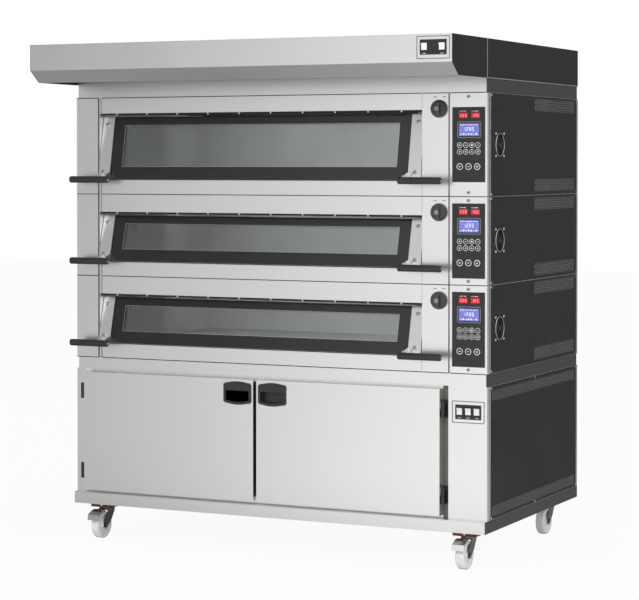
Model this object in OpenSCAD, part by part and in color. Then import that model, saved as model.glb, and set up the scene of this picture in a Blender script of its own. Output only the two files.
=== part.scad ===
// Three-deck electric bakery oven on a proofing cabinet, under a canopy hood.
// Origin: middle of the floor footprint. X to the right, Y to the back, Z up. Millimetres.
// Inside the modules x runs from the left side of the decks and y from the deck fronts.

/* [Overall] */
// Width of the decks, cabinet and hood
body_w = 1660; // [1560:10:1900]
// Depth of the decks and cabinet, without the canopy
body_d = 945; // [900:5:1150]
// Height from the floor to the underside of the base
caster_h = 132; // [126:1:150]
// Height of the base frame
base_h = 43; // [38:1:60]
// Height of the proofing cabinet
prover_h = 465; // [420:5:620]
// Height of the frame between cabinet and decks
mid_band_h = 44; // [30:1:60]
// Height of the frame between decks and hood
top_band_h = 49; // [30:1:60]

/* [Decks] */
// Height of the two lower decks
low_deck_h = 307; // [295:1:380]
// Height of the top deck
top_deck_h = 360; // [330:1:420]
// Front strip under a door opening
strip_low = 53; // [50:1:70]
// Front strip above a door opening
strip_high = 66; // [60:1:80]
// The same strip on the top deck
strip_high_top = 58; // [56:1:80]
// Width of the left front column
left_col_w = 93; // [80:1:110]
// Width of the damper knob column
knob_col_w = 99; // [90:1:110]
// Width of the control plates
ctrl_w = 139; // [132:1:160]
// Dark gap beside each column
col_gap = 6; // [4:1:8]
// Sheet metal thickness
sheet = 2; // [1.5:0.5:2.5]

/* [Chamber] */
// Clear width of a baking chamber
chamber_w = 1240; // [1150:10:1260]
// Inner face of the chamber's back wall, from the deck front
chamber_back = 800; // [700:5:840]
// Front wall of the chamber box, from the deck front
chamber_front = 70; // [70:1:90]
// Chamber floor above the deck's underside
floor_up = 28; // [24:1:32]
// Chamber roof under the deck's top
roof_down = 40; // [36:1:50]
// Thickness of the baking stone
stone_t = 15; // [12:1:20]
// Diameter of a heating element
element_d = 8; // [6:1:10]

/* [Doors] */
// How far the door's top edge stands behind the front
door_setback = 31; // [28:1:34]
// How far the door leans out from top to bottom
door_run = 44; // [40:1:46]
// Gap above the door
door_gap_top = 14; // [12:1:20]
// Gap under the door
door_gap_low = 5; // [5:1:9]
// Gap at each end of the door
door_gap_side = 1.5; // [1:0.5:3]
// Outer glass pane
pane_t = 5; // [4:1:6]
// Black frame between the panes
frame_t = 9; // [8:1:10]
// Inner glass pane
inner_pane_t = 4; // [3:1:4]
// Border beside, above and under the window
border_side = 95; // [80:1:120]
border_top = 30; // [24:1:40]
border_low = 46; // [36:1:56]
// Width of the stainless end bracket
bracket_w = 48; // [40:1:56]
// Diameter of the door handle bar
handle_d = 25; // [20:1:28]
// Length of the door handle bar
handle_len = 162; // [140:1:180]
// How far the bar reaches past the door's end
handle_over = 96; // [80:1:98]

/* [Proofing cabinet] */
// Clear width between the front pillars
left_pillar_w = 40; // [36:1:60]
// Width of the right pillar
right_pillar_w = 144; // [136:1:160]
// Dark hinge strip beside the right door
hinge_strip_w = 25; // [22:1:30]
// Gap between the two doors
door_split = 13; // [6:1:16]
// Thickness of a cabinet door
cab_door_t = 32; // [26:1:36]
// How far the doors stand in front of the pillars
cab_door_proud = 20; // [14:1:22]
// Length and height of the recessed handle
cup_w = 114; // [100:1:130]
cup_h = 85; // [70:1:95]

/* [Hood] */
// How far the canopy reaches in front of the decks
hood_over = 315; // [250:5:400]
// Height of the hood
hood_h = 137; // [120:1:180]
// Height of the upright front apron
apron_h = 94; // [80:1:120]
// Run of the sloped lip under the apron
lip_run = 55; // [40:1:80]
// Outer radius of the exhaust spigot
spigot_r = 75; // [50:1:100]
// Height of the exhaust spigot
spigot_h = 40; // [30:1:60]

/* [Controls] */
// Membrane keypad
keypad_w = 122; // [110:1:128]
keypad_h = 260; // [220:1:270]
// Diameter of the damper knob
knob_d = 62; // [50:1:70]
// Height of the knob's axis under the deck's top
knob_drop = 55; // [45:1:60]
// Diameter of the damper rod
rod_d = 10; // [8:1:12]
// Side of the cooling fan
fan_w = 80; // [60:1:92]

/* [Casters] */
// Wheel diameter
wheel_d = 100; // [80:1:100]
// Wheel width
wheel_w = 32; // [28:1:36]
// Offset of the axle from the swivel
trail = 38; // [30:1:42]
// Swivel axis from the sides of the base
caster_in_x = 92; // [80:1:120]
// Swivel axis from the front and back of the base
caster_in_y = 80; // [72:1:120]

/* [Hidden] */
$fn = 48;
DECKS = [1, 2, 3];
CASTERS = ["front_left", "front_right", "back_left", "back_right"];

// Heights
z_base = caster_h;
z_prover = z_base + base_h;
z_mid = z_prover + prover_h;
z_first = z_mid + mid_band_h;
deck_h = [low_deck_h, low_deck_h, top_deck_h];
deck_z = [z_first, z_first + low_deck_h, z_first + 2 * low_deck_h];
z_top_band = z_first + 2 * low_deck_h + top_deck_h;
z_hood = z_top_band + top_band_h;
z_top = z_hood + hood_h;

// Places across the front
jamb_x = left_col_w + col_gap;
open_x0 = jamb_x + sheet;
strip_x0 = open_x0 + 12;
ctrl_x0 = body_w - ctrl_w;
knob_x1 = ctrl_x0 - col_gap;
open_x1 = knob_x1 - knob_col_w;
chamber_x0 = (open_x0 + open_x1 - chamber_w) / 2;
chamber_x1 = chamber_x0 + chamber_w;
knob_x = knob_x1 - 34;
ctrl_x = ctrl_x0 + 70;

// Places along the depth
side_lip = 18;
post_y = 22;
post_w = 12;
side_y0 = post_y + post_w;
side_y1 = body_d - 15;
reveal_d = 64;
flange_d = 20;
lip_w = 4;
seam = 1.5;
rail_d = 30;
pad_r = 48;
rest_gap = 0.3;

// Door geometry, deck by deck
function open_lo(i) = deck_z[i] + strip_low;
function open_hi(i) = deck_z[i] + deck_h[i] - (i == 2 ? strip_high_top : strip_high);
function door_top(i) = open_hi(i) - door_gap_top;
function door_rise(i) = door_top(i) - open_lo(i) - door_gap_low;
function door_len(i) = sqrt(pow(door_run, 2) + pow(door_rise(i), 2));
function door_lean(i) = atan(door_run / door_rise(i));
door_x0 = open_x0 + door_gap_side;
door_x1 = open_x1 - door_gap_side;
door_t = pane_t + frame_t + inner_pane_t;
pivot_back = 9;
pivot_down = 7;
pin_r = 4;
pin_fit = 0.05;
seal_gap = 3;
pane_lap = 15;
frame_plate_t = 3;
mouth_edge = 4;
handle_out = 41;
handle_below = 11;

// Flue and damper
duct_r = 30;
duct_y = chamber_back - 40;
duct_x1 = ctrl_x0 + 15;
riser_w = 64;
rod_gap = 0.3;

// Steam slots in a chamber's back wall, and the ledges that carry its stone
steam_slots = 12;
steam_slot_w = 5;
steam_slot_h = 26;
steam_pitch = 10.5;
steam_x = 583;
ledge_w = 20;

// Exhaust spigot
spigot_y = body_d - 245.7;
spigot_flange = 10;
spigot_neck = 4;

// Vents in the side panels
vent_len = 431;
vent_h = 44;
vent_in = 10;
vent_back = 29;
prover_vent_h = 36;
prover_vent_y = 47;
prover_vent_back = 24;

// Cable gland in the rear panel
gland_x = body_w - 90;
gland_z = z_prover + 120;
gland_r = 9;
gland_body_r = 12;

// Proofing cabinet
cab_x0 = left_pillar_w + 2;
cab_x1 = body_w - right_pillar_w - hinge_strip_w;
cab_split = (cab_x0 + cab_x1 - door_split) / 2;
cab_rail = 11;
cab_z0 = z_prover + cab_rail;
cab_z1 = z_mid - cab_rail;
cab_frame_y = cab_door_t - cab_door_proud + 2;
liner_x0 = left_pillar_w + 10;
liner_x1 = cab_x1 - 9;
liner_z0 = z_prover + 25;
liner_z1 = z_mid - 20;
liner_y1 = body_d - 85;
hinge_r = 7;
hinge_pin_r = 3;
hinge_h = 58;
hinge_y = hinge_pin_r * 2 - cab_door_proud;
hinge_out = 9;
hinge_in_z = 42;
cup_z = cab_z1 - 93;

// Fan and switches
fan_y = 117;
fan_t = 25;
fan_screw = fan_w / 2 - 1;
fan_bore_r = fan_w / 2 - 3;
switch_w = 122;
switch_h = 78;
bezel_w = 96;
bezel_h = 51;
rocker_w = 20;
rocker_h = 26;
rocker_pitch = 32;
hood_switch_z = z_hood + 93;
prover_switch_z = z_mid - 89;

// Casters
axle_r = 5;
spacer_t = 17;
fork_top_z = caster_h - spacer_t - 1;
brake_pivot = [-8, fork_top_z - 11];

// x from the left side and y from the deck fronts, in the part's own frame
function X(x) = x - body_w / 2;
function Y(y) = y - (body_d - hood_over) / 2;
module at(x, y, z) { translate([X(x), Y(y), z]) children(); }
module slab(x0, x1, y0, y1, z0, z1) { at(x0, y0, z0) cube([x1 - x0, y1 - y0, z1 - z0]); }
module rod_x(x0, x1, y, z, r) { at(x0, y, z) rotate([0, 90, 0]) cylinder(r = r, h = x1 - x0); }
module rod_y(x, y0, y1, z, r) { at(x, y0, z) rotate([-90, 0, 0]) cylinder(r = r, h = y1 - y0); }
// An outline in y and z, stretched along x
module profile_x(x0, x1, points) {
    at(x0, 0, 0) rotate([90, 0, 90]) linear_extrude(x1 - x0) polygon(points);
}
// The plane of a door: x across, y into the oven, z up from the door's top front edge
module in_door(i) {
    at(0, door_setback, door_top(i)) rotate([-door_lean(i), 0, 0]) translate([-X(0), 0, 0]) children();
}
module door_slab(x0, x1, y0, y1, z0, z1) {
    translate([X(x0), y0, z0]) cube([x1 - x0, y1 - y0, z1 - z0]);
}
module steel() { color([0.78, 0.78, 0.78]) children(); }
module dark_paint() { color([0.2, 0.2, 0.21]) children(); }
module black_plastic() { color([0.1, 0.1, 0.1]) children(); }

// ---- Hood
// Apron, sloped lip and its return, as one folded sheet
module canopy_outline() {
    lip_y = lip_run - hood_over;
    polygon([[-hood_over, hood_h - sheet - rest_gap], [-hood_over, hood_h - apron_h], [lip_y, 1],
             [lip_y + 14, 1], [lip_y + 14, 1 + sheet], [lip_y + 1, 1 + sheet],
             [sheet - hood_over, hood_h - apron_h + 1], [sheet - hood_over, hood_h - sheet - rest_gap]]);
}
module riser_hole(z0, z1) {
    slab(duct_x1, duct_x1 + riser_w, duct_y - riser_w / 2, duct_y + riser_w / 2, z0, z1);
}
// Collar in the hole of the hood's top: a flange under the sheet, a narrower neck and the duct's seat
module spigot() {
    at(body_w / 2, spigot_y, z_top - 2 * sheet) difference() {
        union() {
            cylinder(r = spigot_r + spigot_flange, h = sheet - rest_gap);
            cylinder(r = spigot_r - sheet / 2, h = 2 * sheet + spigot_neck);
            translate([0, 0, 2 * sheet + spigot_neck]) cylinder(r = spigot_r, h = spigot_h - spigot_neck);
        }
        translate([0, 0, -1]) cylinder(r = spigot_r - sheet, h = spigot_h + 2 * sheet + 2);
    }
}
module hood_shell() {
    x0 = sheet + rest_gap;
    x1 = body_w - sheet - rest_gap;
    steel() {
        difference() {
            at(x0, 0, z_hood) rotate([90, 0, 90]) linear_extrude(x1 - x0) canopy_outline();
            slab(ctrl_x - bezel_w / 2 + 3, ctrl_x + bezel_w / 2 - 3, -hood_over - 1, -hood_over + sheet + 1,
                 hood_switch_z - bezel_h / 2 + 3, hood_switch_z + bezel_h / 2 - 3);
        }
        difference() {
            slab(x0, x1, -hood_over, body_d, z_top - sheet, z_top);
            at(body_w / 2, spigot_y, z_top - 2 * sheet) cylinder(r = spigot_r + rest_gap, h = 3 * sheet);
        }
        spigot();
        slab(x0, x1, body_d - sheet, body_d, z_hood + sheet + rest_gap, z_top - sheet - rest_gap);
        difference() {
            slab(x0, x1, 0, body_d, z_hood, z_hood + sheet);
            riser_hole(z_hood - 1, z_hood + sheet + 1);
        }
    }
}

// ---- Side and rear panels
// Each vent as its y, its z, its length and its height
function deck_vents(i) = [
    for (z = [deck_z[i] + deck_h[i] - vent_in - vent_h, deck_z[i] + vent_in + 4])
        [side_y1 - vent_back - vent_len, z, vent_len, vent_h]];
function prover_vents() = [
    for (z = [z_mid - 15 - prover_vent_h, z_prover + 11])
        [prover_vent_y, z, side_y1 - prover_vent_back - prover_vent_y, prover_vent_h]];
function all_vents() = concat([for (i = [0:2]) for (v = deck_vents(i)) v], prover_vents());
module vent_hole(x0, v) { slab(x0 - 1, x0 + sheet + 1, v[0], v[0] + v[2], v[1], v[1] + v[3]); }
module side_panel(x0, z0, z1) { slab(x0, x0 + sheet, side_y0, side_y1, z0 + 1, z1 - 1); }
module hood_cheek(x0) {
    profile_x(x0, x0 + sheet, [[-1, z_hood], [-1, z_top], [-hood_over, z_top],
                               [-hood_over, z_top - apron_h], [lip_run - hood_over, z_hood + 1]]);
    slab(x0, x0 + sheet, 1, body_d, z_hood, z_top);
}
module side_panels() {
    dark_paint() {
        for (x0 = [0, body_w - sheet]) {
            difference() {
                union() {
                    for (i = [0:2]) side_panel(x0, deck_z[i], deck_z[i] + deck_h[i]);
                    side_panel(x0, z_prover, z_mid);
                }
                for (v = all_vents()) vent_hole(x0, v);
                if (x0 > 0) for (i = [0:2])
                    rod_x(x0 - 1, x0 + sheet + 1, fan_y, deck_mid(i), fan_bore_r);
            }
            hood_cheek(x0);
        }
        difference() {
            slab(30, body_w - 30, body_d - sheet, body_d, z_prover + 1, z_mid - 1);
            rod_y(gland_x, body_d - 3, body_d + 1, gland_z, gland_body_r);
        }
        for (i = [0:2])
            slab(30, body_w - 30, body_d - sheet, body_d, deck_z[i] + 1, deck_z[i] + deck_h[i] - 1);
    }
}
function deck_mid(i) = deck_z[i] + deck_h[i] / 2;

// Slotted strips behind the vent openings
module vent_grilles() {
    slot = 4;
    pitch = 24;
    dark_paint() for (x0 = [sheet, body_w - 2 * sheet + 1]) for (v = all_vents())
        difference() {
            slab(x0, x0 + sheet - 1, v[0] - 5, v[0] + v[2] + 5, v[1] - 4, v[1] + v[3] + 4);
            for (y = [v[0] + 4 : pitch : v[0] + v[2] - 8])
                slab(x0 - 1, x0 + sheet, y, y + slot, v[1] + 4, v[1] + v[3] - 4);
        }
}

// ---- Frames between the modules
// Front or rear channel, with its back outwards
module channel_x(x0, x1, y, z0, z1, faces_back) {
    y0 = faces_back ? y - rail_d : y;
    difference() {
        slab(x0, x1, y0, y0 + rail_d, z0, z1);
        slab(x0 - 1, x1 + 1, y0 + (faces_back ? -1 : sheet), y0 + rail_d + (faces_back ? -sheet : 1),
             z0 + sheet, z1 - sheet);
    }
}
// Side channel: its back closes the corners, its flanges stop short of the other two channels
module channel_y(x, y0, y1, z0, z1, faces_right) {
    flange_x = faces_right ? x - rail_d : x;
    slab(faces_right ? x - sheet : x, faces_right ? x : x + sheet, y0, y1, z0, z1);
    for (z = [z0, z1 - sheet])
        slab(flange_x, flange_x + rail_d, y0 + rail_d + rest_gap, y1 - rail_d - rest_gap, z, z + sheet);
}
module ring_frame(x0, x1, y0, y1, z0, z1) {
    inset = sheet + rest_gap;
    channel_x(x0 + inset, x1 - inset, y0, z0, z1, false);
    channel_x(x0 + inset, x1 - inset, y1, z0, z1, true);
    channel_y(x0, y0, y1, z0, z1, false);
    channel_y(x1, y0, y1, z0, z1, true);
}
module spacer_bands() {
    steel() {
        ring_frame(0, body_w, -cab_door_proud, body_d, z_base, z_prover - sheet - rest_gap);
        slab(0, body_w, -cab_door_proud, body_d, z_prover - sheet, z_prover);
        for (x = [0, 1]) for (y = [0, 1]) base_pad(x, y);
        ring_frame(8, body_w - 3, 0, body_d - 2, z_mid, z_first);
        ring_frame(8, body_w - 3, 0, body_d - 2, z_top_band, z_hood);
    }
}
// A closed box over each caster, which takes its bolts
module base_pad(right, back) {
    x = right ? body_w - caster_in_x : caster_in_x;
    y = back ? body_d - caster_in_y : caster_in_y - cab_door_proud;
    difference() {
        slab(x - pad_r, x + pad_r, y - pad_r, y + pad_r, z_base, z_prover - sheet - rest_gap);
        slab(x - pad_r + 3, x + pad_r - 3, y - pad_r + 3, y + pad_r - 3, z_base + 3, z_prover);
    }
}

// ---- Chassis: floor, roof and corner posts of each module, and the flue riser
module post(x0, y0, z0, z1, right, back) {
    x = right ? x0 - 30 : x0;
    slab(right ? x0 - sheet : x0, right ? x0 : x0 + sheet, y0, y0 + (back ? 15 : post_w), z0, z1);
    slab(x, x + 30, back ? body_d - sheet : y0, back ? body_d : y0 + sheet, z0, z1);
}
// Floor and roof with the flue's hole in the given heights, and four posts
module module_frame(z0, z1, hole_z0, hole_z1) {
    difference() {
        union() {
            slab(0, body_w, post_y, body_d, z0 + rest_gap, z0 + 1);
            slab(0, body_w, post_y, body_d, z1 - 1, z1);
        }
        riser_hole(hole_z0, hole_z1);
    }
    for (right = [false, true]) for (back = [false, true])
        post(right ? body_w : 0, back ? side_y1 : post_y, z0 + 1 + rest_gap, z1 - 1 - rest_gap,
             right, back);
}
// The four plates of the flue, the left one with the duct's hole
module riser(i) {
    z0 = deck_z[i] + 1 + rest_gap;
    z1 = deck_z[i] + deck_h[i] - 1 - rest_gap;
    y0 = duct_y - riser_w / 2;
    y1 = duct_y + riser_w / 2;
    difference() {
        slab(duct_x1 - 1, duct_x1, y0 - 1, y1 + 1, z0, z1);
        rod_x(duct_x1 - 2, duct_x1 + 1, duct_y, knob_z(i), duct_r);
    }
    slab(duct_x1 + riser_w, duct_x1 + riser_w + 1, y0 - 1, y1 + 1, z0, z1);
    for (y = [y0 - 1, y1])
        slab(duct_x1 + rest_gap, duct_x1 + riser_w - rest_gap, y, y + 1, z0, z1);
}
module cable_gland() {
    at(gland_x, body_d, gland_z) rotate([-90, 0, 0]) difference() {
        union() {
            translate([0, 0, -20]) cylinder(r = gland_body_r, h = 20);
            cylinder(r = 17, h = 7, $fn = 6);
            cylinder(r = gland_body_r, h = 16);
        }
        translate([0, 0, -21]) cylinder(r = gland_r, h = 40);
    }
}
module chassis() {
    color([0.7, 0.7, 0.7]) {
        for (i = [0:2]) {
            z0 = deck_z[i];
            z1 = deck_z[i] + deck_h[i];
            module_frame(z0, z1, i == 0 ? z0 + 5 : z0 - 1, z1 + 1);
            riser(i);
        }
        module_frame(z_prover, z_mid, z_mid + 5, z_mid + 6);
        cable_gland();
    }
}

// ---- Deck fronts
function knob_z(i) = deck_z[i] + deck_h[i] - knob_drop;
// Room for the chassis floor and roof behind the front plates
module trim_ends(i) {
    for (z = [deck_z[i], deck_z[i] + deck_h[i]])
        slab(-1, body_w + 1, post_y, reveal_d + 10, z - 1.2, z + 1.2);
}
module pin_holes(i) {
    in_door(i) for (x = [jamb_x - 1, open_x1 - 1])
        translate([X(x), pivot_back, -pivot_down]) rotate([0, 90, 0])
            cylinder(r = pin_r + pin_fit, h = sheet + 2);
}
module left_column(i) {
    z0 = deck_z[i] + seam / 2;
    z1 = deck_z[i] + deck_h[i] - seam / 2;
    difference() {
        union() {
            slab(0, left_col_w, 0, sheet, z0, z1);
            slab(0, sheet, 0, side_lip, z0, z1);
            slab(6, 6 + sheet, 0, post_y, z0, z1);
            slab(left_col_w - sheet, left_col_w, 0, 32, z0, z1);
            slab(left_col_w - sheet, jamb_x, 30, 32, z0, z1);
            slab(jamb_x, jamb_x + sheet, 0, reveal_d, z0, z1);
            for (z = [[z0, open_lo(i)], [open_hi(i), z1]])
                slab(jamb_x, open_x0 + lip_w, 0, sheet, z[0], z[1]);
        }
        pin_holes(i);
        trim_ends(i);
    }
}
module strips(i) {
    z0 = deck_z[i] + seam / 2;
    z1 = deck_z[i] + deck_h[i] - seam / 2;
    for (z = [[z0, open_lo(i)], [open_hi(i), z1]]) {
        slab(strip_x0, open_x1 - 1, 0, sheet, z[0], z[1]);
        slab(strip_x0, strip_x0 + sheet, 0, flange_d + sheet, z[0], z[1]);
        slab(open_x0 + rest_gap, strip_x0 + sheet, flange_d, flange_d + sheet, z[0], z[1]);
        slab(open_x1 - 3, open_x1 - 1, 0, flange_d + sheet, z[0], z[1]);
        slab(open_x1 - 3, open_x1 - rest_gap, flange_d, flange_d + sheet, z[0], z[1]);
    }
    slab(strip_x0, open_x1 - 1, 0, flange_d, open_lo(i) - sheet, open_lo(i));
    slab(open_x0 + rest_gap, open_x1 - 1, 5, flange_d, open_lo(i) - sheet, open_lo(i));
    slab(strip_x0, open_x1 - 1, 0, reveal_d, open_hi(i), open_hi(i) + sheet);
    slab(open_x0 + rest_gap, open_x1 - rest_gap, 5, reveal_d, open_hi(i), open_hi(i) + sheet);
}
module knob_column(i) {
    z0 = deck_z[i] + seam / 2;
    z1 = deck_z[i] + deck_h[i] - seam / 2;
    difference() {
        union() {
            slab(open_x1, knob_x1, 0, sheet, z0, z1);
            slab(open_x1, open_x1 + sheet, 0, reveal_d, z0, z1);
            slab(knob_x1 - sheet, knob_x1, 0, 32, z0, z1);
            slab(knob_x1 - sheet, ctrl_x0 + sheet, 30, 32, z0, z1);
        }
        pin_holes(i);
        trim_ends(i);
        rod_y(knob_x, -1, sheet + 1, knob_z(i), rod_d / 2 + rod_gap);
    }
}
module deck_fronts() {
    steel() for (i = [0:2]) {
        left_column(i);
        strips(i);
        knob_column(i);
    }
}

// ---- Control plates, switch plates and what is set in them
module switch_cutout(y0, z) {
    slab(ctrl_x - bezel_w / 2 + 3, ctrl_x + bezel_w / 2 - 3, y0 - 1, y0 + 10,
         z - bezel_h / 2 + 3, z + bezel_h / 2 - 3);
}
module switch_plate(y0, z) {
    difference() {
        slab(ctrl_x - switch_w / 2, ctrl_x + switch_w / 2, y0 - 1.5, y0, z - switch_h / 2, z + switch_h / 2);
        switch_cutout(y0 - 2, z);
    }
}
module control_plates() {
    steel() {
        for (i = [0:2]) {
            z0 = deck_z[i] + seam / 2;
            z1 = deck_z[i] + deck_h[i] - seam / 2;
            difference() {
                union() {
                    slab(ctrl_x0, body_w, 0, sheet, z0, z1);
                    slab(ctrl_x0, ctrl_x0 + sheet, 0, 30, z0, z1);
                    slab(body_w - sheet, body_w, 0, side_lip, z0, z1);
                    slab(body_w - 8, body_w - 8 + sheet, 0, post_y, z0, z1);
                }
                trim_ends(i);
            }
        }
        switch_plate(-hood_over, hood_switch_z);
        switch_plate(0, prover_switch_z);
    }
}
module keypad(i) {
    zc = deck_mid(i);
    face = -1.5;
    slab(ctrl_x - keypad_w / 2, ctrl_x + keypad_w / 2, face, 0, zc - keypad_h / 2, zc + keypad_h / 2);
    for (dx = [-19, 26]) slab(ctrl_x + dx - 16, ctrl_x + dx + 16, face - 0.6, face, zc + 92, zc + 110);
    slab(ctrl_x - 40, ctrl_x + 45, face - 0.8, face, zc + 25, zc + 78);
    for (row = [0, 1]) for (c = [-1.5:1.5])
        rod_y(ctrl_x + c * 22.6 + 1, face - 0.6, face, zc - 2 - 23 * row, 9.5);
    for (c = [-1:1]) rod_y(ctrl_x + c * 32.3, face - 0.6, face, zc - 76, 11.4);
    slab(ctrl_x - 48, body_w - 34, sheet, 32, zc - 115, zc + 115);
}
// Black panel of a switch group with a box behind each rocker
module bezel(y0, z, blank) {
    difference() {
        union() {
            slab(ctrl_x - bezel_w / 2, ctrl_x + bezel_w / 2, y0 - 3.5, y0 - 1.5,
                 z - bezel_h / 2, z + bezel_h / 2);
            slab(ctrl_x - bezel_w / 2 + 4, ctrl_x + bezel_w / 2 - 4, y0 - 2, y0 + 18,
                 z - bezel_h / 2 + 4, z + bezel_h / 2 - 4);
        }
        for (c = [-1:1]) if (c != 0 || !blank) {
            slab(ctrl_x + c * rocker_pitch - rocker_w / 2 - 0.5,
                 ctrl_x + c * rocker_pitch + rocker_w / 2 + 0.5,
                 y0 - 4, y0 + 16, z + 3 - rocker_h / 2 - 0.8, z + 3 + rocker_h / 2 + 0.8);
            rod_x(ctrl_x + c * rocker_pitch - rocker_w / 2 - 2.5,
                  ctrl_x + c * rocker_pitch + rocker_w / 2 + 2.5,
                  y0 + 2, z + 3, 1.55);
        }
    }
}
module keypads() {
    black_plastic() {
        for (i = [0:2]) keypad(i);
        bezel(-hood_over, hood_switch_z, true);
        bezel(0, prover_switch_z, false);
    }
}
// A tilted rocker: hollow front, round back, a stub pin at each side
module rocker(y0, z, c) {
    r = rocker_h / 2;
    color("white") at(ctrl_x + c * rocker_pitch, y0 + 2, z + 3) rotate([7, 0, 0]) {
        translate([-rocker_w / 2, 0, 0]) rotate([90, 0, 90]) linear_extrude(rocker_w)
            polygon([[-8.5, r - 1.5], [-6.5, 0], [-8.5, 1.5 - r], [-7, 1 - r], [0, 2 - r], [5, -5], [5, 5],
                     [0, r - 2], [-7, r - 1]]);
        translate([-rocker_w / 2 - 2, 0, 0]) rotate([0, 90, 0]) cylinder(r = 1.5, h = rocker_w + 4);
    }
}

// ---- Damper
module damper_knob(i) {
    black_plastic() at(knob_x, -0.5, knob_z(i)) rotate([90, 0, 0]) {
        difference() {
            union() {
                cylinder(r = knob_d / 2, h = 6);
                translate([0, 0, 6]) cylinder(r = knob_d / 2 - 4, h = 8);
                intersection() {
                    translate([-11, -knob_d, 14]) cube([22, 2 * knob_d, 14]);
                    translate([0, 0, 10]) cylinder(r = knob_d / 2 - 2, h = 18);
                }
            }
            translate([0, 0, -1]) cylinder(r = rod_d / 2, h = 13);
        }
    }
}
module damper_rod(i) {
    color([0.6, 0.6, 0.6]) union() {
        rod_y(knob_x, -12, duct_y + duct_r + 12, knob_z(i), rod_d / 2);
        intersection() {
            rod_x(knob_x - 1, knob_x + 1, duct_y, knob_z(i), duct_r - 1);
            slab(knob_x - 2, knob_x + 2, duct_y - duct_r, duct_y + duct_r,
                 knob_z(i) - duct_r, knob_z(i) + duct_r);
        }
    }
}

// ---- Fans
module fan_frame(i) {
    z = deck_mid(i);
    x1 = body_w - sheet;
    x0 = x1 - fan_t;
    black_plastic() {
        difference() {
            slab(x0, x1, fan_y - fan_w / 2, fan_y + fan_w / 2, z - fan_w / 2, z + fan_w / 2);
            rod_x(x0 - 1, x1 + 1, fan_y, z, fan_bore_r);
        }
        rod_x(x0, x0 + 5, fan_y, z, 15);
        for (a = [0, 90]) difference() {
            at(x0, fan_y, z) rotate([a, 0, 0]) translate([0, -fan_bore_r - 1, -2])
                cube([3, 2 * fan_bore_r + 2, 4]);
            rod_x(x0 - 1, x0 + 6, fan_y, z, 15);
        }
        rod_x(x0 + 5, x0 + 18, fan_y, z, 3);
        guard(z);
    }
}
module guard(z) {
    at(body_w + 2, fan_y, z) rotate([0, 90, 0]) {
        for (r = [12, 20, 28, 36]) rotate_extrude() translate([r, 0]) circle(r = 1.1, $fn = 16);
        cylinder(r = 7, h = 2, center = true);
    }
    for (a = [45, 135]) at(body_w + 0.6, fan_y, z) rotate([a, 0, 0])
        translate([0, -fan_screw * 1.4142, -1.2]) cube([1.2, 2 * fan_screw * 1.4142, 2.4]);
}
module fan_rotor(i) {
    z = deck_mid(i);
    x0 = body_w - sheet - fan_t + 6;
    color([0.15, 0.15, 0.15]) difference() {
        union() {
            rod_x(x0, x0 + 14, fan_y, z, 14);
            for (a = [0 : 51.43 : 359]) at(x0 + 7, fan_y, z) rotate([a, 0, 0])
                translate([0, 0, 23]) rotate([0, 0, 35]) cube([1.5, 13, 25], center = true);
        }
        rod_x(x0 - 1, x0 + 12.5, fan_y, z, 3.05);
    }
}

// ---- Baking chambers
// All that lies in front of the given depth from a door's outer face
module in_front(i, depth) {
    in_door(i) door_slab(-200, body_w + 200, -600, depth, -1200, 1200);
}
// Slanted flange round the mouth that the door closes on, between two heights
module mouth_flange(i, x0, x1, z0, z1) {
    intersection() {
        in_door(i) door_slab(x0, x1, door_t + seal_gap, door_t + seal_gap + frame_plate_t, -500, 100);
        slab(x0, x1, -40, reveal_d + 6, z0, z1);
    }
}
// Flat sheets set a hair apart: box, throat, flange and ledges
module chamber(i) {
    g = rest_gap;
    x0 = chamber_x0;
    x1 = chamber_x1;
    y0 = chamber_front;
    y1 = chamber_back + sheet;
    z0 = deck_z[i] + floor_up;
    z1 = deck_z[i] + deck_h[i] - roof_down;
    m0 = open_lo(i) + mouth_edge;
    m1 = open_hi(i) - mouth_edge;
    steel() {
        for (z = [z0 - sheet, z1]) slab(x0 - sheet, x1 + sheet, y0, y1, z, z + sheet);
        slab(x0 - sheet, x0, y0, y1, z0 + g, z1 - g);
        difference() {
            slab(x1, x1 + sheet, y0, y1, z0 + g, z1 - g);
            rod_x(x1 - 1, x1 + sheet + 1, duct_y, knob_z(i), duct_r);
        }
        difference() {
            slab(x0 + g, x1 - g, chamber_back, y1, z0 + g, z1 - g);
            for (k = [0 : steam_slots - 1]) {
                x = x0 + steam_x + steam_pitch * k;
                slab(x, x + steam_slot_w, chamber_back - 1, y1 + 1, m1 - 34 - steam_slot_h, m1 - 34);
            }
        }
        for (z = [[z0 + g, m0], [m1, z1 - g]]) slab(x0 + g, x1 - g, y0, y0 + sheet, z[0], z[1]);
        for (x = [x0 + g, x1 - ledge_w])
            slab(x, x + ledge_w - g, y0 + sheet + g, chamber_back - g, m0 - stone_t - sheet, m0 - stone_t);
        difference() {
            union() {
                for (z = [m0 - sheet, m1]) slab(x0 - sheet, x1 + sheet, -40, y0 - g, z, z + sheet);
                for (x = [x0 - sheet, x1]) slab(x, x + sheet, -40, y0 - g, m0 + g, m1 - g);
            }
            in_front(i, door_t + seal_gap + frame_plate_t + g);
        }
        mouth_flange(i, open_x0, open_x1, open_lo(i), m0);
        mouth_flange(i, open_x0, open_x1, m1, open_hi(i));
        mouth_flange(i, open_x0, x0, m0 + g, m1 - g);
        mouth_flange(i, x1, open_x1, m0 + g, m1 - g);
        difference() {
            rod_x(x1 + sheet + g, duct_x1 - 1 - g, duct_y, knob_z(i), duct_r + 1);
            rod_x(x1, duct_x1, duct_y, knob_z(i), duct_r);
            rod_y(knob_x, duct_y - duct_r - 5, duct_y + duct_r + 5, knob_z(i), rod_d / 2 + rod_gap);
        }
    }
}
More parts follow.
